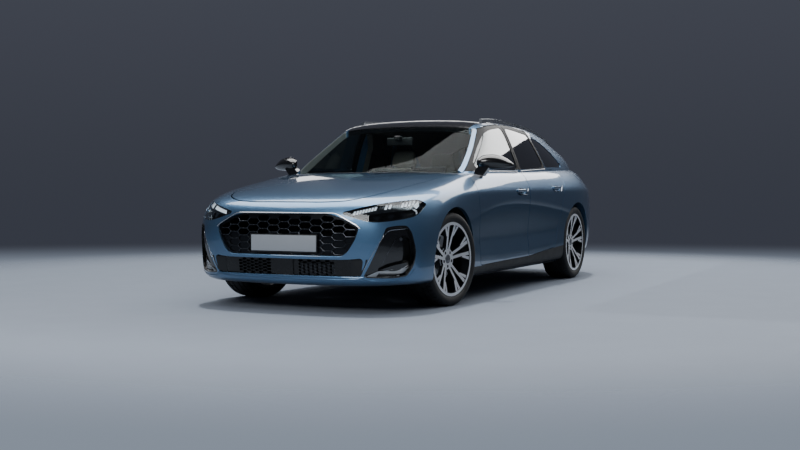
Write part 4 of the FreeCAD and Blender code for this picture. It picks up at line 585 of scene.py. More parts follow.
def swell(piece, cap):
    """Cloth pressure blows the pads up; no point may move further than cap."""
    cloth = piece.modifiers.new("foam", "CLOTH")
    cloth.settings.use_pressure = True
    cloth.settings.uniform_pressure_force = 4.0
    cloth.settings.effector_weights.gravity = 0.0
    cloth.settings.quality = 4
    cloth.point_cache.frame_start = 1
    cloth.point_cache.frame_end = swell_frames
    scene = bpy.context.scene
    for number in range(1, swell_frames + 1):
        scene.frame_set(number)
    shape = piece.evaluated_get(bpy.context.evaluated_depsgraph_get())
    swollen = [vert.co.copy() for vert in shape.data.vertices]
    piece.modifiers.remove(cloth)
    scene.frame_set(1)
    for vert, place in zip(piece.data.vertices, swollen):
        step = place - vert.co
        if step.length > cap:
            step *= cap / step.length
        vert.co += step


def upholstered(name, node, seats, body):
    """Pads of one seat or bench: seats are (middle y, width) of each sitting place."""
    low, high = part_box(node)
    crease = Vector((high[0] - crease_back, 0, crease_height))
    back_up = Vector((-math.sin(seat_lean), 0, math.cos(seat_lean)))
    back_on = Vector((math.cos(seat_lean), 0, math.sin(seat_lean)))
    mesh = bmesh.new()
    for middle, width in seats:
        insert = width - 2 * bolster_width - seam
        across = Vector((0, middle, 0))
        pad(mesh, (cushion_length, insert, cushion_depth), crease + across + cushion_middle,
            cushion_lean)
        pad(mesh, (back_depth, insert, back_height),
            crease + across + back_up * 0.30 - back_on * 0.062, seat_lean)
        pad(mesh, (shoulder_depth, insert * shoulder_share, shoulder_height),
            crease + across + back_up * 0.585 - back_on * 0.060, seat_lean)
        for sign in (1, -1):
            out = Vector((0, middle + sign * (width / 2 - bolster_width / 2), 0))
            pad(mesh, (side_cushion_length, bolster_width, side_cushion_depth),
                crease + out + side_cushion_middle, side_cushion_lean)
            pad(mesh, (side_back_depth, bolster_width, side_back_height),
                crease + out + back_up * 0.32 - back_on * 0.058, seat_lean)
        pad(mesh, headrest_size, crease + across + back_up * 0.735 - back_on * 0.060, seat_lean,
            headrest_taper)
    piece = new_piece(name, mesh, seat_leather, body)
    swell(piece, swell_limit)
    smooth = piece.modifiers.new("soft", "SUBSURF")
    smooth.levels = smooth.render_levels = 1
    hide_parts(node)
    frame_mesh = bmesh.new()
    for middle, width in seats:
        across = Vector((0, middle, 0))
        for size, centre, lean in (
                ((0.44, width - 0.06, 0.10), crease + across + Vector((0.24, 0, -0.170)), 0.0),
                ((0.022, width - 0.05, 0.60), crease + across + back_up * 0.30 - back_on * 0.108,
                 seat_lean)):
            made = bmesh.ops.create_cube(frame_mesh, size=1.0)["verts"]
            bmesh.ops.scale(frame_mesh, vec=size, verts=made)
            edges = list({e for v in made for e in v.link_edges})
            bevel = bmesh.ops.bevel(frame_mesh, geom=edges, offset=0.009, offset_type="OFFSET",
                                    segments=2, profile=0.5, affect="EDGES", material=-1)
            made = list(set(bevel["verts"]) | {v for v in made if v.is_valid})
            bmesh.ops.transform(frame_mesh, verts=made, matrix=Matrix.Translation(centre)
                                @ Matrix.Rotation(-lean, 4, "Y"))
        for sign in (1, -1):
            at = crease + across + back_up * 0.665 - back_on * 0.060
            at += Vector((0, sign * 0.055, 0))
            bmesh.ops.create_cone(frame_mesh, cap_ends=True, segments=16, radius1=0.006,
                                  radius2=0.006, depth=0.13, matrix=Matrix.Translation(at)
                                  @ Matrix.Rotation(-seat_lean, 4, "Y"))
        floor_low = low[2] + 0.004
        for sign in (1, -1):
            size = (0.40, 0.035, crease.z - 0.215 - floor_low)
            made = bmesh.ops.create_cube(frame_mesh, size=1.0)["verts"]
            bmesh.ops.scale(frame_mesh, vec=size, verts=made)
            bmesh.ops.translate(frame_mesh, verts=made, vec=crease + across + Vector(
                (0.24, sign * width * 0.33, -0.215 - size[2] / 2)))
    new_piece(name + "_shell", frame_mesh, black_plastic, body)


for side, sign in sides.items():
    low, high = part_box("front_seat_" + side)
    upholstered("front_seat_pads_" + side, "front_seat_" + side,
                [((low[1] + high[1]) / 2, high[1] - low[1] - 0.02)], "root")
bench_low, bench_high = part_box("rear_bench")
place_width = (bench_high[1] - bench_low[1]) / 3
upholstered("rear_bench_pads", "rear_bench",
            [(k * place_width, place_width - 0.008) for k in (-1, 0, 1)], "root")

# %% [markdown]
# ## Lines and small parts on the body
# Many parts of a car follow its skin: lips round the openings, belt strips, sensors. They are
# placed by casting a ray onto the finished solids. Places read off the photo are sent from
# the camera, places in the front or side view straight along X or Y.

# %% Finding places on the skin
def skin_of(*names):
    """Search tree over the triangles of some solids."""
    points, faces = [], []
    for name in names:
        data = frame["nodes"][name].data
        start = len(points)
        points += [vert.co.copy() for vert in data.vertices]
        faces += [[start + k for k in face.vertices] for face in data.polygons]
    return BVHTree.FromPolygons(points, faces)


def hit(tree, start, direction):
    """Place and outward normal where a ray meets the skin, or None."""
    place, normal = tree.ray_cast(Vector(start), Vector(direction).normalized())[:2]
    if place is None:
        return None
    if normal.dot(Vector(direction)) > 0:
        normal.negate()
    return place, normal


focal_pixels = 1157.65
middle_across, middle_down = 400, 225
camera_right = look.cross(Vector((0, 0, 1))).normalized()
camera_up = camera_right.cross(look)


def seen(tree, across, down):
    """What the photo shows at a place counted from its upper left corner."""
    direction = (look * focal_pixels + camera_right * (across - middle_across)
                 + camera_up * (middle_down - down))
    return hit(tree, camera_place, direction)


def even_steps(corners, step):
    """Points every step or so along a line of corners."""
    made = []
    for start, end in zip(corners, corners[1:]):
        count = max(1, round((Vector(end) - Vector(start)).length / step))
        made += [Vector(start).lerp(Vector(end), k / count) for k in range(count)]
    return made + [Vector(corners[-1])]


def softened(points, rounds=2):
    """Points moved towards the middle of their neighbours, ends kept."""
    for _ in range(rounds):
        points = [points[0]] + [(a + b * 2 + c) / 4 for a, b, c
                                in zip(points, points[1:], points[2:])] + [points[-1]]
    return points


def tube(name, points, radius, material, body, mirror=False):
    """Round bar through points, and its mirror image on the car's other side if asked."""
    curve = bpy.data.curves.new(name, "CURVE")
    curve.dimensions = "3D"
    curve.bevel_depth = radius
    curve.bevel_resolution = 3
    curve.use_fill_caps = True
    for sign in ((1, -1) if mirror else (1,)):
        line = curve.splines.new("POLY")
        line.points.add(len(points) - 1)
        for knot, place in zip(line.points, points):
            knot.co = (place.x, place.y * sign, place.z, 1)
    holder = bpy.data.objects.new(name + "_line", curve)
    data = bpy.data.meshes.new_from_object(holder)
    bpy.data.objects.remove(holder)
    mesh = bmesh.new()
    mesh.from_mesh(data)
    bpy.data.meshes.remove(data)
    return new_piece(name, mesh, material, body)


def rounded_block(mesh, size, place, rim=0.004, segments=2):
    """Block with rounded edges; place is a point or a matrix."""
    matrix = place if isinstance(place, Matrix) else Matrix.Translation(place)
    made = bmesh.ops.create_cube(mesh, size=1.0)["verts"]
    bmesh.ops.scale(mesh, vec=size, verts=made)
    edges = list({edge for vert in made for edge in vert.link_edges})
    bevel = bmesh.ops.bevel(mesh, geom=edges, offset=rim, offset_type="OFFSET",
                            segments=segments, profile=0.5, affect="EDGES", material=-1)
    made = list(set(bevel["verts"]) | {vert for vert in made if vert.is_valid})
    bmesh.ops.transform(mesh, matrix=matrix, verts=made)


def block_piece(name, blocks, material, body="root"):
    """Piece of rounded blocks, each given as rounded_block takes them."""
    mesh = bmesh.new()
    for block in blocks:
        rounded_block(mesh, *block)
    return new_piece(name, mesh, material, body)


def leaning(place, degrees):
    """Matrix that puts a block at place, turned about Y."""
    return Matrix.Translation(place) @ Matrix.Rotation(math.radians(degrees), 4, "Y")


nose_skin = skin_of("front_bumper", "front_fenders", "bonnet")
left_skin = skin_of("side_frame_left", "front_door_left", "rear_door_left")
print("skins ready")

# %% [markdown]
# ### Lips round the openings of the nose
# The bumper's skin turns in at each opening over a small radius. That rounded lip faces the
# overhead light, so it draws the thin pale lines that outline the grille and the lower edge.

# %% Lips
nose_height, nose_half_width, nose_rear = 0.53, 0.45, 1.7
clear_of_car = 3.0


def nose_line(corners, outward, step=0.02):
    """(half width, height) corners cast from ahead onto the nose, moved outward if missed."""
    made = []
    for corner in even_steps([Vector((a, b, 0)) for a, b in corners], step):
        for tries in range(6):
            away = 1 + outward * (1 + tries) / nose_half_width
            across = corner.x * away
            height = nose_height + (corner.y - nose_height) * away
            found = hit(nose_skin, (clear_of_car, across, height), (-1, 0, 0))
            if found and found[0].x > nose_rear:
                made.append(found[0] - found[1] * 0.001)
                break
    return made


grille_line = [(0.0, 0.680), (0.375, 0.680), (0.398, 0.677), (0.560, 0.592), (0.566, 0.580),
               (0.546, 0.510), (0.494, 0.424), (0.482, 0.410), (0.445, 0.390), (0.425, 0.388),
               (0.0, 0.388)]
upper = softened(nose_line(grille_line[:5], 0.006))
lip_sink = Vector((0.0065, 0, 0))
bright_lip_radius, lower_lip_radius, lip_radius = 0.0045, 0.0075, 0.0065
lower = [place - lip_sink for place in softened(nose_line(grille_line[4:], 0.006))]
tube("grille_upper_lip", upper, bright_lip_radius, bright_trim, "root",
     mirror=True)
tube("grille_lower_lip", lower, lower_lip_radius, body_paint, "root", mirror=True)
intake_line = [(0.0, 0.256), (0.573, 0.256)]
tube("intake_lip", softened(nose_line(intake_line, 0.010)), lip_radius, body_paint, "root",
     mirror=True)
print("lips of", len(upper), "and", len(lower), "places")

# %% [markdown]
# The webs between the grille's hexagons are dark. A thin bar of paler chrome follows the three
# sides of the lower half of every cell: a painted highlight where those edges catch the light.

# %% Cell edges
cell_width, cell_height, column_pitch, row_pitch = 0.100, 0.040, 0.084, 0.0245
top_row, rows, thick_rows = 0.6451, 12, 5
thick_edge, thin_edge = 0.0017, 0.0011
cell_corners = ((-0.52, 0.06), (-0.31, -0.56), (0.31, -0.56), (0.52, 0.06))
web_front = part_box("grille")[0].x + 0.035
grille_skin = skin_of("grille")
cell_edges = 0
for row in range(rows):
    level = top_row - row * row_pitch
    radius = thick_edge if row < thick_rows else thin_edge
    for column in range(4):
        middle = (2 * column + row % 2) * column_pitch
        line = []
        for share, drop in cell_corners:
            corner = (clear_of_car, middle + share * cell_width, level + drop * cell_height)
            found = hit(grille_skin, corner, (-1, 0, 0))
            if found and found[0].x > web_front:
                line.append(found[0])
        if len(line) < 3 or abs(line[0].x - line[-1].x) > 0.05:
            continue
        if middle < 0.01:
            line = [p for p in line if p.y > -0.06]
        # The bar's paler chrome is a painted highlight along the cell's lower edges.
        tube(f"cell_edge_{row}_{column}", line, radius, cell_highlight_chrome, "root",
             mirror=middle > 0.01)
        cell_edges += 1
print("cell edges", cell_edges)

# %% [markdown]
# ### Air curtains and intake
# At each end of the bumper a tall black duct leads air past the wheel. A thin bright edge
# runs along its rim, a pale scoop lies at its foot, and a painted lip closes it below. Their
# corners are read off the photo in pixels and cast onto the skin, so they sit on it.

# %% Air curtains
def photo_line(pixels, tree, lift, step=1.5):
    """Places read off the photo, cast onto the skin; the ones that miss it are left out."""
    made = []
    for spot in even_steps([Vector((a, b, 0)) for a, b in pixels], step):
        found = seen(tree, spot.x, spot.y)
        if found and found[0].x > 1.6:
            made.append(found[0] + found[1] * lift)
    return made


curtain_skin = skin_of("front_bumper", "air_curtains")
rim_line = [(361.0, 275.3), (368.7, 260.8), (377.8, 245.5), (385.5, 233.3), (390.1, 230.2),
            (406.9, 228.7)]
tube("curtain_edge", softened(photo_line(rim_line, curtain_skin, 0.0005)), 0.0022, bright_trim,
     "root", mirror=True)
step_line = [(381.7, 264.9), (387.8, 253.1), (395.4, 240.1)]
tube("curtain_step_edge", softened(photo_line(step_line, curtain_skin, 0.0)), 0.0012, satin_rail,
     "root", mirror=True)
low_line = [(361.0, 278.4), (369.4, 281.1), (384.0, 281.5), (400.0, 279.2), (410.0, 275.3),
            (414.6, 269.2)]
lip_skin, lip_lift = skin_of("front_bumper"), -0.003
tube("curtain_lip", softened(photo_line(low_line, lip_skin, lip_lift)), lip_radius, body_paint,
     "root", mirror=True)


def plates(name, shapes, tree, lift, thickness, material, away):
    """Thin plates whose corners are read off the photo, and their mirror images."""
    mesh = bmesh.new()
    for shape in shapes:
        corners = [seen(tree, a, b) for a, b in shape]
        if None in corners:
            continue
        verts = [mesh.verts.new(c[0] + away * lift) for c in corners]
        made = bmesh.ops.contextual_create(mesh, geom=verts)["faces"]
        if not made:
            continue
        grown = bmesh.ops.extrude_face_region(mesh, geom=made)["geom"]
        bmesh.ops.translate(mesh, vec=away * thickness,
                            verts=[v for v in grown if isinstance(v, bmesh.types.BMVert)])
    copy = bmesh.ops.duplicate(mesh, geom=mesh.verts[:] + mesh.edges[:] + mesh.faces[:])["geom"]
    bmesh.ops.scale(mesh, vec=(1, -1, 1),
                    verts=[v for v in copy if isinstance(v, bmesh.types.BMVert)])
    return new_piece(name, mesh, material, "root", smooth=False)


towards_camera = -look
scoop = [[(364.5, 277.4), (377.8, 271.5), (390.0, 270.0), (403.9, 268.4), (408.5, 265.2),
          (408.4, 267.4), (403.9, 272.3), (398.5, 276.0), (380.9, 277.8)]]
plate_lift, plate_wall = 0.001, 0.002
plates("curtain_scoop", scoop, curtain_skin, plate_lift, plate_wall, blank_plate,
       towards_camera)
band_end = [[(350.8, 260.6), (368.0, 259.6), (361.6, 274.8), (351.6, 276.4)]]
plates("intake_band_end", band_end, skin_of("front_bumper", "air_curtains", "lower_intake"),
       plate_lift, plate_wall, black_plastic, towards_camera)
chin_line = [(283.0, 277.9), (300.0, 278.7), (320.0, 279.4), (340.0, 280.0), (361.0, 279.0)]
tube("chin_lip", softened(photo_line(chin_line, lip_skin, lip_lift)), lip_radius, body_paint,
     "root", mirror=True)
sensor = seen(curtain_skin, 401.0, 239.2)
mesh = bmesh.new()
for sign in (1, -1):
    normal = Vector((sensor[1].x, sensor[1].y * sign, sensor[1].z))
    place = Vector((sensor[0].x, sensor[0].y * sign, sensor[0].z))
    matrix = Matrix.Translation(place) @ normal.to_track_quat("Z", "Y").to_matrix().to_4x4()
    bmesh.ops.create_cone(mesh, cap_ends=True, segments=32, radius1=0.0125, radius2=0.011,
                          depth=0.004, matrix=matrix)
new_piece("corner_sensors", mesh, satin_rail, "root")
print("air curtains dressed")

# %% [markdown]
# ### Headlamps
# Behind the clear lens a dark blade carries the daytime lamp: slanted blocks of white light
# guide in three groups, and a bright facet at the outer end. They glow faintly by themselves,
# because a light guide is lit along its whole length.

# %% Headlamps
lit_guide = start_material("lit_light_guide")
finish_surface(lit_guide[1], lit_guide[2],
               {"Base Color": colour("eef2f6"), "Roughness": 0.3,
                "Emission Color": colour("f4f8ff"), "Emission Strength": 0.75})
lamp_skin = skin_of("headlamp_housings")
blocks = []
for first, last, count, width, tall, slant in (
        ((354.6, 213.4), (375.6, 208.9), 8, 2.1, 3.6, 1.5),
        ((386.2, 207.6), (390.1, 206.8), 2, 2.3, 4.2, 1.7),
        ((402.6, 205.2), (413.6, 202.9), 4, 2.0, 4.6, 1.9)):
    for k in range(count):
        share = k / (count - 1)
        a = first[0] + (last[0] - first[0]) * share
        b = first[1] + (last[1] - first[1]) * share
        left, right = a - width / 2, a + width / 2
        low, high = b + tall / 2, b - tall / 2
        blocks.append([(left - slant / 2, low), (right - slant / 2, low),
                       (right + slant / 2, high), (left + slant / 2, high)])
facets = [[(418.8, 200.4), (422.9, 201.3), (426.4, 203.6), (419.6, 206.0)],
          [(419.2, 206.4), (426.0, 204.2), (424.0, 207.2), (419.3, 210.8), (416.9, 209.2)],
          [(418.2, 200.8), (418.9, 206.1), (416.4, 208.9), (413.4, 206.4)],
          [(409.8, 207.6), (411.2, 207.1), (416.8, 210.6), (415.4, 211.6)]]
lamp_away = Vector((look.x, look.y, 0)).normalized() * -1
plates("daytime_lamps", blocks + facets, lamp_skin, 0.0015, 0.003, lit_guide[0],
       lamp_away)
print("lamp blocks", len(blocks) + len(facets))

# %% [markdown]
# ### Number plates
# A plate is a thin aluminium sheet, 520 by 110 mm, in a black holder. Both are left blank, and
# both are sunk so far into the grille and the tail that the car gets no longer.

# %% Plates
plate_size, plate_rim = (0.004, 0.520, 0.110), 0.0012
front_holder, rear_holder, holder_rim = (0.012, 0.532, 0.126), (0.010, 0.536, 0.126), 0.003
front_height, rear_height = 0.475, 0.60
front_spot = hit(skin_of("grille", "front_bumper"), (clear_of_car, 0.10, 0.470), (-1, 0, 0))[0]
front_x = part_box("grille")[1].x - 0.0015
block_piece("front_plate_holder",
            [(front_holder, Vector((front_x, 0, front_height - 0.002)), holder_rim)],
            black_plastic)
block_piece("front_plate",
            [(plate_size, Vector((front_x + 0.0075, 0, front_height)), plate_rim)],
            blank_plate)
tail_skin = skin_of("rear_bumper", "tailgate")
rear_spot = hit(tail_skin, (-clear_of_car, 0.0, rear_height), (1, 0, 0))
print("tail at", tuple(round(v, 3) for v in rear_spot[0]), "nose at", round(front_spot.x, 3))
rear_x = rear_spot[0].x + 0.0076
block_piece("rear_plate_holder", [(rear_holder, Vector((rear_x, 0, rear_height)), holder_rim)],
            black_plastic)
block_piece("rear_plate",
            [(plate_size, Vector((rear_x - 0.0065, 0, rear_height)), plate_rim)],
            blank_plate)

# %% [markdown]
# ### Belt strips, sensors, wipers and mirror glass
# A bright anodised strip runs along the foot of the side windows, one piece on each door. The
# wipers lie along the foot of the windshield. The mirror glass sits in the pod's rear face.
# The parking sensors are painted caps, 20 mm across, that stand in the bumpers.

# %% Trim
strip_radius, handle_rim_radius = 0.0042, 0.0025
blade_steps, blade_lift, blade_radius, arm_radius = 15, 0.007, 0.0045, 0.006
door_side = 0.85
mirror_half_height, mirror_half_width = 0.036, 0.082
sensor_cap = {"segments": 24, "radius1": 0.010, "radius2": 0.009, "depth": 0.003}
for body, name, start, end in (("front_door_body_", "front", (0.885, 0.981), (-0.050, 0.992)),
                               ("rear_door_body_", "rear", (-0.130, 0.996), (-0.800, 1.022))):
    spots = []
    for spot in even_steps([Vector((*start, 0)), Vector((*end, 0))], 0.03):
        found = hit(left_skin, (spot.x, 1.4, spot.y), (0, -1, 0))
        if found:
            spots.append(found[0])
    for side, sign in sides.items():
        line = [Vector((p.x, p.y * sign, p.z)) for p in softened(spots)]
        tube(f"belt_strip_{name}_{side}", line, strip_radius, bright_trim, body + side)
for name, pixels in (("front", [(517.6, 188.4), (520.2, 194.0), (527.6, 194.6), (528.2, 188.8)]),
                     ("rear", [(551.6, 185.2), (554.2, 190.6), (561.4, 191.2), (562.0, 185.6)])):
    spots = []
    for spot in even_steps([Vector((a, b, 0)) for a, b in pixels], 0.8):
        found = seen(left_skin, spot.x, spot.y)
        if found and found[0].y > door_side:
            spots.append(found[0])
    for side, sign in sides.items():
        line = [Vector((p.x, p.y * sign, p.z)) for p in spots]
        tube(f"handle_rim_{name}_{side}", line, handle_rim_radius, bright_trim,
             f"{name}_door_body_{side}")
screen = skin_of("windshield")
for side, (pivot, first, last) in {"left": ((1.372, 0.10), 0.06, 0.58),
                                   "right": ((1.285, -0.46), -0.54, 0.02)}.items():
    blade = []
    for k in range(blade_steps):
        across = first + (last - first) * k / (blade_steps - 1)
        ahead = 1.335 - 0.31 * (across / 0.72) ** 2
        found = hit(screen, (ahead, across, 2.0), (0, 0, -1))
        if found:
            blade.append(found[0] + found[1] * blade_lift)
    if len(blade) > 2:
        tube("wiper_blade_" + side, blade, blade_radius, black_plastic, "root")
        foot = Vector((pivot[0], pivot[1], blade[0].z - 0.012))
        middle = blade[len(blade) // 2] + Vector((0, 0, 0.010))
        tube("wiper_arm_" + side, [foot, foot + Vector((0, 0, 0.02)), middle], arm_radius,
             black_plastic, "root")
for side, sign in sides.items():
    pod = skin_of("door_mirror_" + side)
    low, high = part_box("door_mirror_" + side)
    middle_y = (low.y + high.y) / 2 + sign * 0.010
    found = hit(pod, (low.x - 0.5, middle_y, (low.z + high.z) / 2 + 0.012), (1, 0, 0))
    mesh = bmesh.new()
    if found:
        bmesh.ops.create_circle(mesh, cap_ends=True, radius=1.0, segments=40)
        bmesh.ops.scale(mesh, vec=(mirror_half_height, mirror_half_width, 1), verts=mesh.verts)
        bmesh.ops.transform(mesh, matrix=leaning(found[0] + found[1] * 0.0015, -90),
                            verts=mesh.verts)
        new_piece("mirror_glass_" + side, mesh, mirror_coat, "front_door_body_" + side)
    else:
        mesh.free()
sensors = bmesh.new()
for height, places, ahead in ((0.44, (0.72,), 1), (0.50, (0.25, 0.62), -1)):
    tree = nose_skin if ahead > 0 else tail_skin
    for across in places:
        for sign in (1, -1):
            found = hit(tree, (clear_of_car * ahead, across * sign, height), (-ahead, 0, 0))
            if found:
                matrix = found[1].to_track_quat("Z", "Y").to_matrix().to_4x4()
                bmesh.ops.create_cone(sensors, cap_ends=True,
                                      matrix=Matrix.Translation(found[0]) @ matrix,
                                      **sensor_cap)
new_piece("parking_sensors", sensors, body_paint, "root")

# %% [markdown]
# ## Cabin
# Through the glass one sees the dashboard with its displays and vents, the console between
# the seats and the pedals. Nearly all of them are moulded with rounded edges, so each piece is
# a list of rounded blocks with their sizes and places, measured from the dashboard's box.

# %% Dashboard and console
screen_black = grained("black_display_glass", "050607", "040405", 0.06, 2.0e-3, 0.0)
carpet = grained("tufted_carpet", "1d1e20", "121314", 0.95, 2.2e-3, 0.5, cells=True, sheen=0.3)
dash_low, dash_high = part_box("dashboard")
dash_back, dash_top = dash_low.x, dash_high.z
display_lean = -12
displays = []
for size, ahead, across, above in (((0.014, 0.300, 0.118), 0.020, 0.370, 0.030),
                                   ((0.014, 0.340, 0.170), 0.010, 0.030, -0.010),
                                   ((0.012, 0.260, 0.100), 0.006, -0.380, -0.050)):
    place = leaning((dash_back + ahead, across, dash_top + above), display_lean)
    displays.append((size, place, 0.005))
block_piece("dash_displays", displays, screen_black)
vents = []
for middle, width, drop in ((0.640, 0.10, 0.080), (-0.640, 0.10, 0.080), (0.030, 0.30, 0.135)):
    height = dash_top - drop
    place = Vector((dash_back + 0.004, middle, height))
    vents.append(((0.014, width + 0.016, 0.052), place, 0.004))
    for k in range(4):
        slat = Vector((dash_back - 0.005, middle, height - 0.016 + k * 0.0105))
        vents.append(((0.010, width, 0.003), slat, 0.001, 1))
block_piece("dash_vents", vents, black_plastic)
strip = [Vector((dash_back - 0.002, y / 100, dash_top - 0.182)) for y in range(-60, 61, 5)]
tube("dash_strip", strip, 0.004, satin_rail, "root")
block_piece("console", [((0.720, 0.205, 0.270), Vector((0.400, 0, 0.335)), 0.025, 3),
                        ((0.230, 0.190, 0.250), Vector((dash_back - 0.080, 0, 0.520)), 0.030, 3)],
            trim_plastic)
block_piece("console_armrest", [((0.300, 0.170, 0.060), Vector((0.220, 0, 0.500)), 0.022, 4)],
            dark_leather)
mesh = bmesh.new()
rounded_block(mesh, (0.230, 0.150, 0.006), Vector((0.500, 0, 0.472)), 0.003)
for place in ((0.590, 0.040, 0.474), (0.590, -0.040, 0.474)):
    bmesh.ops.create_cone(mesh, cap_ends=True, segments=32, radius1=0.036, radius2=0.036,
                          depth=0.010, matrix=Matrix.Translation(place))
rounded_block(mesh, (0.060, 0.040, 0.045), Vector((0.480, 0.0, 0.492)), 0.012, 3)
new_piece("console_top", mesh, screen_black, "root")
mat_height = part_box("front_seat_left")[0].z + 0.006
mats = [((0.500, 0.400, 0.010), Vector((0.560, 0.370 * sign, mat_height)), 0.004)
        for sign in (1, -1)]
block_piece("floor_mats", mats, carpet)
pedals = []
for middle, width in ((0.320, 0.060), (0.440, 0.085)):
    pedals.append(((0.012, width, 0.110), leaning((dash_back + 0.110, middle, 0.340), 28), 0.004))
    arm = [Vector((dash_back + 0.115, middle, 0.345)), Vector((dash_back + 0.150, middle, 0.50)),
           Vector((dash_back + 0.150, middle, 0.66))]
    tube("pedal_arm_" + str(round(middle * 100)), arm, 0.008, black_plastic, "root")
block_piece("pedals", pedals, black_plastic)
print("dashboard at", round(dash_back, 3), round(dash_top, 3))

# %% [markdown]
# ### Inner mirror and sun visors
# The inner mirror hangs on a foot behind the upper edge of the windshield. The visors lie
# folded up under the headliner, so a ray cast upwards finds their height.

# %% Mirror and visors
spot = hit(skin_of("windshield"), (-0.2, 0.0, 1.255), (1, 0, 0))
glass_x = spot[0].x
mirror_height = 1.235
block_piece("inner_mirror",
            [((0.022, 0.235, 0.068), Vector((glass_x - 0.085, 0, mirror_height)), 0.009, 3),
             ((0.060, 0.050, 0.040), Vector((glass_x - 0.050, 0, 1.262)), 0.008, 3)],
            black_plastic)
block_piece("inner_mirror_glass",
            [((0.002, 0.215, 0.052), Vector((glass_x - 0.0975, 0, mirror_height)), 0.0008, 1)],
            mirror_coat)
headliner = hit(skin_of("roof_panel"), (0.10, 0.36, 0.8), (0, 0, 1))
if headliner:
    visor_height = headliner[0].z - 0.024
    visors = [((0.150, 0.380, 0.016), leaning((0.150, 0.340 * sign, visor_height), 4), 0.006, 3)
              for sign in (1, -1)]
    block_piece("sun_visors", visors, pale_trim)
print("mirror behind the glass at", round(glass_x, 3))

# %% [markdown]
# ### Door trims
# Each door has an armrest, a pocket below it, a pull handle and a round loudspeaker. A ray
# cast outwards finds the trim's surface. They ride on their doors, so they swing out with them.

# %% Door trims
armrest_height, pocket_height, handle_height, speaker_height = 0.640, 0.360, 0.760, 0.440
for end, start, stop in (("front", 0.14, 0.80), ("rear", -0.88, -0.24)):
    middle, length = (start + stop) / 2, stop - start
    for side, sign in sides.items():
        inner = hit(skin_of(f"{end}_door_{side}"), (middle, 0.40 * sign, armrest_height),
                    (0, sign, 0))
        if not inner:
            continue
        y = inner[0].y
        block_piece(f"armrest_{end}_{side}",
                    [((length, 0.075, 0.052), Vector((middle, y - sign * 0.030, armrest_height)),
                      0.016, 3),
                     ((length - 0.10, 0.050, 0.120),
                      Vector((middle + 0.02, y - sign * 0.018, pocket_height)), 0.014, 3)],
                    dark_leather, f"{end}_door_body_{side}")
        bright = bmesh.new()
        rounded_block(bright, (0.120, 0.018, 0.022),
                      Vector((stop - 0.10, y - sign * 0.010, handle_height)), 0.006, 3)
        speaker = Matrix.Translation((stop - 0.13, y - sign * 0.004, speaker_height))
        bmesh.ops.create_cone(bright, cap_ends=True, segments=36, radius1=0.078, radius2=0.074,
                              depth=0.012,
                              matrix=speaker @ Matrix.Rotation(math.radians(90 * sign), 4, "X"))
        new_piece(f"door_handle_and_speaker_{end}_{side}", bright, satin_rail,
                  f"{end}_door_body_{side}")

# %% [markdown]
# ## Engine bay and radiator
# Behind the grille stands the radiator, a slab of thin fins. The engine wears a plastic cover
# with ribs, and hoses run from it to the radiator.

# %% Engine bay
engine_low, engine_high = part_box("engine_block")
engine_middle, engine_top = (engine_low.x + engine_high.x) / 2, engine_high.z
cover = [((0.480, 0.440, 0.026), Vector((engine_middle, 0, engine_top + 0.012)), 0.010, 3)]
cover += [((0.360, 0.016, 0.010), Vector((engine_middle, -0.15 + 0.06 * k, engine_top + 0.028)),
           0.004) for k in range(6)]
block_piece("engine_cover", cover, black_plastic)
fin_pitch = 0.0081
fins = [((0.030, 0.680, 0.320), Vector((2.125, 0, 0.480)), 0.004)]
fins += [((0.004, 0.660, 0.003), Vector((2.142, 0, 0.330 + fin_pitch * k)), 0.001, 1)
         for k in range(38)]
block_piece("radiator", fins, underbody)
for name, sign in (("upper", 1), ("lower", -1)):
    height = 0.480 + 0.12 * sign
    line = [(engine_high.x - 0.02, 0.16 * sign, height - 0.02),
            (engine_high.x + 0.06, 0.18 * sign, height), (2.05, 0.22 * sign, height),
            (2.112, 0.22 * sign, height)]
    tube(name + "_hose", softened([Vector(place) for place in line]), 0.017, black_plastic,
         "root")
print("engine top", round(engine_top, 3), "front", round(engine_high.x, 3))

# %% [markdown]
# ## The studio
# The photo's floor is pale blue-grey and runs softly into a dark wall. The wall and the far
# floor are the world: one colour above the eye line and another below it, with a soft step. A
# real floor disc under the car catches its shadow and fades out before its rim. As in a car
# studio, a wide overhead box gives the paint its long soft reflections. A second wide light
# washes the floor, and a far lamp with parallel rays gives it its crisp shadow. A tall panel
# behind the car shows in the side windows, and a black card beside it keeps the doors dark
# below their crease. The camera sees neither.

# %% Studio
def smooth_step(tree, value, low, high):
    """0 below low, 1 above high, and smooth between."""
    node = add(tree, "ShaderNodeMapRange", {"interpolation_type": "SMOOTHSTEP"},
               {"From Min": low, "From Max": high}, {"Value": value})
    return node.outputs["Result"]


world = bpy.data.worlds.new("studio")
bpy.context.scene.world = world
world.use_nodes = True
tree = world.node_tree
tree.nodes.clear()
direction = add(tree, "ShaderNodeTexCoord").outputs["Generated"]
parts = add(tree, "ShaderNodeSeparateXYZ", None, None, {"Vector": direction})
wall = add(tree, "ShaderNodeMix", {"data_type": "RGBA"},
           {"A": colour("3a3d47"), "B": colour("474a54")},
           {"Factor": smooth_step(tree, parts.outputs["Z"], -0.05, 0.25)})
ground = add(tree, "ShaderNodeMix", {"data_type": "RGBA"}, {"A": colour("8791a0")},
             {"Factor": smooth_step(tree, parts.outputs["Z"], -0.068, -0.046),
              "B": wall.outputs["Result"]})
background = add(tree, "ShaderNodeBackground", None, {"Strength": 1.0},
                 {"Color": ground.outputs["Result"]})
add(tree, "ShaderNodeOutputWorld", None, None, {"Surface": background.outputs["Background"]})

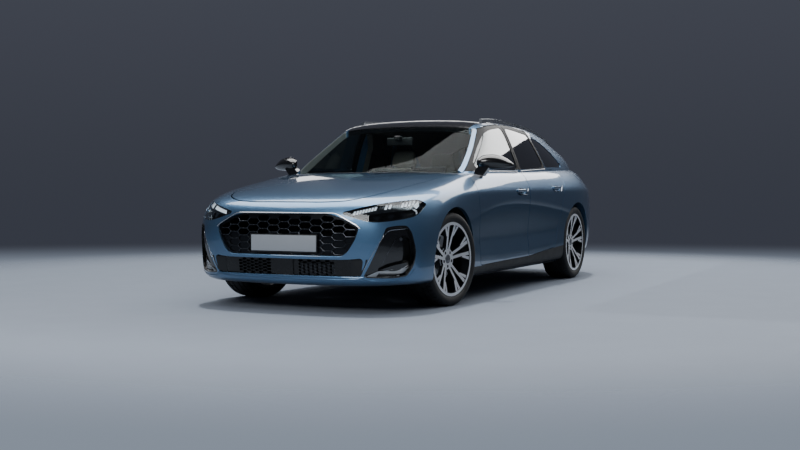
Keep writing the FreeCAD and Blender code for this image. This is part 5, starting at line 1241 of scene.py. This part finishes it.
floor_radius, fade_start, fade_end = 7.0, 4.2, 6.4
floor_mesh = bmesh.new()
bmesh.ops.create_circle(floor_mesh, cap_ends=True, radius=floor_radius, segments=96)
floor_data = bpy.data.meshes.new("studio_floor")
floor_mesh.to_mesh(floor_data)
floor_mesh.free()
floor = bpy.data.objects.new("studio_floor", floor_data)
bpy.context.scene.collection.objects.link(floor)
material, tree, output, place = start_material("painted_studio_floor")
flat = add(tree, "ShaderNodeVectorMath", {"operation": "LENGTH"}, None, {0: place})
speck = add(tree, "ShaderNodeTexNoise", None, {"Scale": 3.0, "Detail": 2.0}, {"Vector": place})
tone = add(tree, "ShaderNodeMix", {"data_type": "RGBA"},
           {"A": colour("8d96a3"), "B": colour("929ba8")}, {"Factor": speck.outputs["Fac"]})
paint_node = add(tree, "ShaderNodeBsdfPrincipled", None,
                 {"Roughness": 0.7, "Specular IOR Level": 0.05},
                 {"Base Color": tone.outputs["Result"]})
nothing = add(tree, "ShaderNodeBsdfTransparent")
fade = add(tree, "ShaderNodeMixShader", None, None,
           {"Fac": smooth_step(tree, flat.outputs["Value"], fade_start, fade_end),
            1: paint_node.outputs["BSDF"], 2: nothing.outputs[0]})
tree.links.new(fade.outputs[0], output.inputs["Surface"])
floor_data.materials.append(material)


def area_light(name, width, depth, place, target, watts):
    """Soft box at place that looks at target."""
    data = bpy.data.lights.new(name, "AREA")
    data.shape = "RECTANGLE"
    data.size = width
    data.size_y = depth
    data.energy = watts
    lamp = bpy.data.objects.new(name, data)
    lamp.location = place
    lamp.visible_camera = False
    lamp.rotation_euler = (Vector(target) - Vector(place)).to_track_quat("-Z", "Y").to_euler()
    bpy.context.scene.collection.objects.link(lamp)
    return lamp


overhead = area_light("overhead_box", 10.0, 5.0, (0.59, -0.13, 5.2), (0.59, -0.13, 0), 900)
overhead.rotation_euler = (0, 0, math.radians(120.7))
overhead.visible_diffuse = False
wash = area_light("floor_wash", 14.0, 14.0, (0, 0, 8.0), (0, 0, 0), 520)
wash.visible_glossy = False
sun_data = bpy.data.lights.new("shadow_lamp", "SUN")
sun_data.energy = 1.9
sun_data.angle = math.radians(3.0)
shadow_lamp = bpy.data.objects.new("shadow_lamp", sun_data)
shadow_lamp.rotation_euler = Vector((0.24, 0.12, -1.0)).to_track_quat("-Z", "Y").to_euler()
shadow_lamp.visible_glossy = False
bpy.context.scene.collection.objects.link(shadow_lamp)
area_light("front_fill", 3.0, 2.0, (7.5, 0.5, 3.6), (1.5, 0, 0.6), 140)
area_light("rear_left_panel", 8.0, 4.6, (-8.0, 3.0, 5.65), (7.0, 3.0, 5.4), 560)
area_light("rear_right_strip", 5.0, 0.7, (-8.0, -3.6, 3.3), (0.0, -1.0, 1.4), 25)

card_mesh = bmesh.new()
bmesh.ops.create_grid(card_mesh, x_segments=1, y_segments=1, size=1.0)
bmesh.ops.scale(card_mesh, vec=(6.0, 2.6, 1), verts=card_mesh.verts)
bmesh.ops.translate(card_mesh, vec=(-4.5, 4.4, 0.004), verts=card_mesh.verts)
card_data = bpy.data.meshes.new("black_card")
card_mesh.to_mesh(card_data)
card_mesh.free()
card = bpy.data.objects.new("black_card", card_data)
bpy.context.scene.collection.objects.link(card)
material, tree, output, place = start_material("black_velvet_card")
finish_surface(tree, output, {"Base Color": colour("06090e"), "Roughness": 0.95})
card_data.materials.append(material)
card.visible_camera = False
card.visible_diffuse = False
card.visible_shadow = False
card.visible_transmission = False

# %% Final update
import json

bpy.context.view_layer.update()
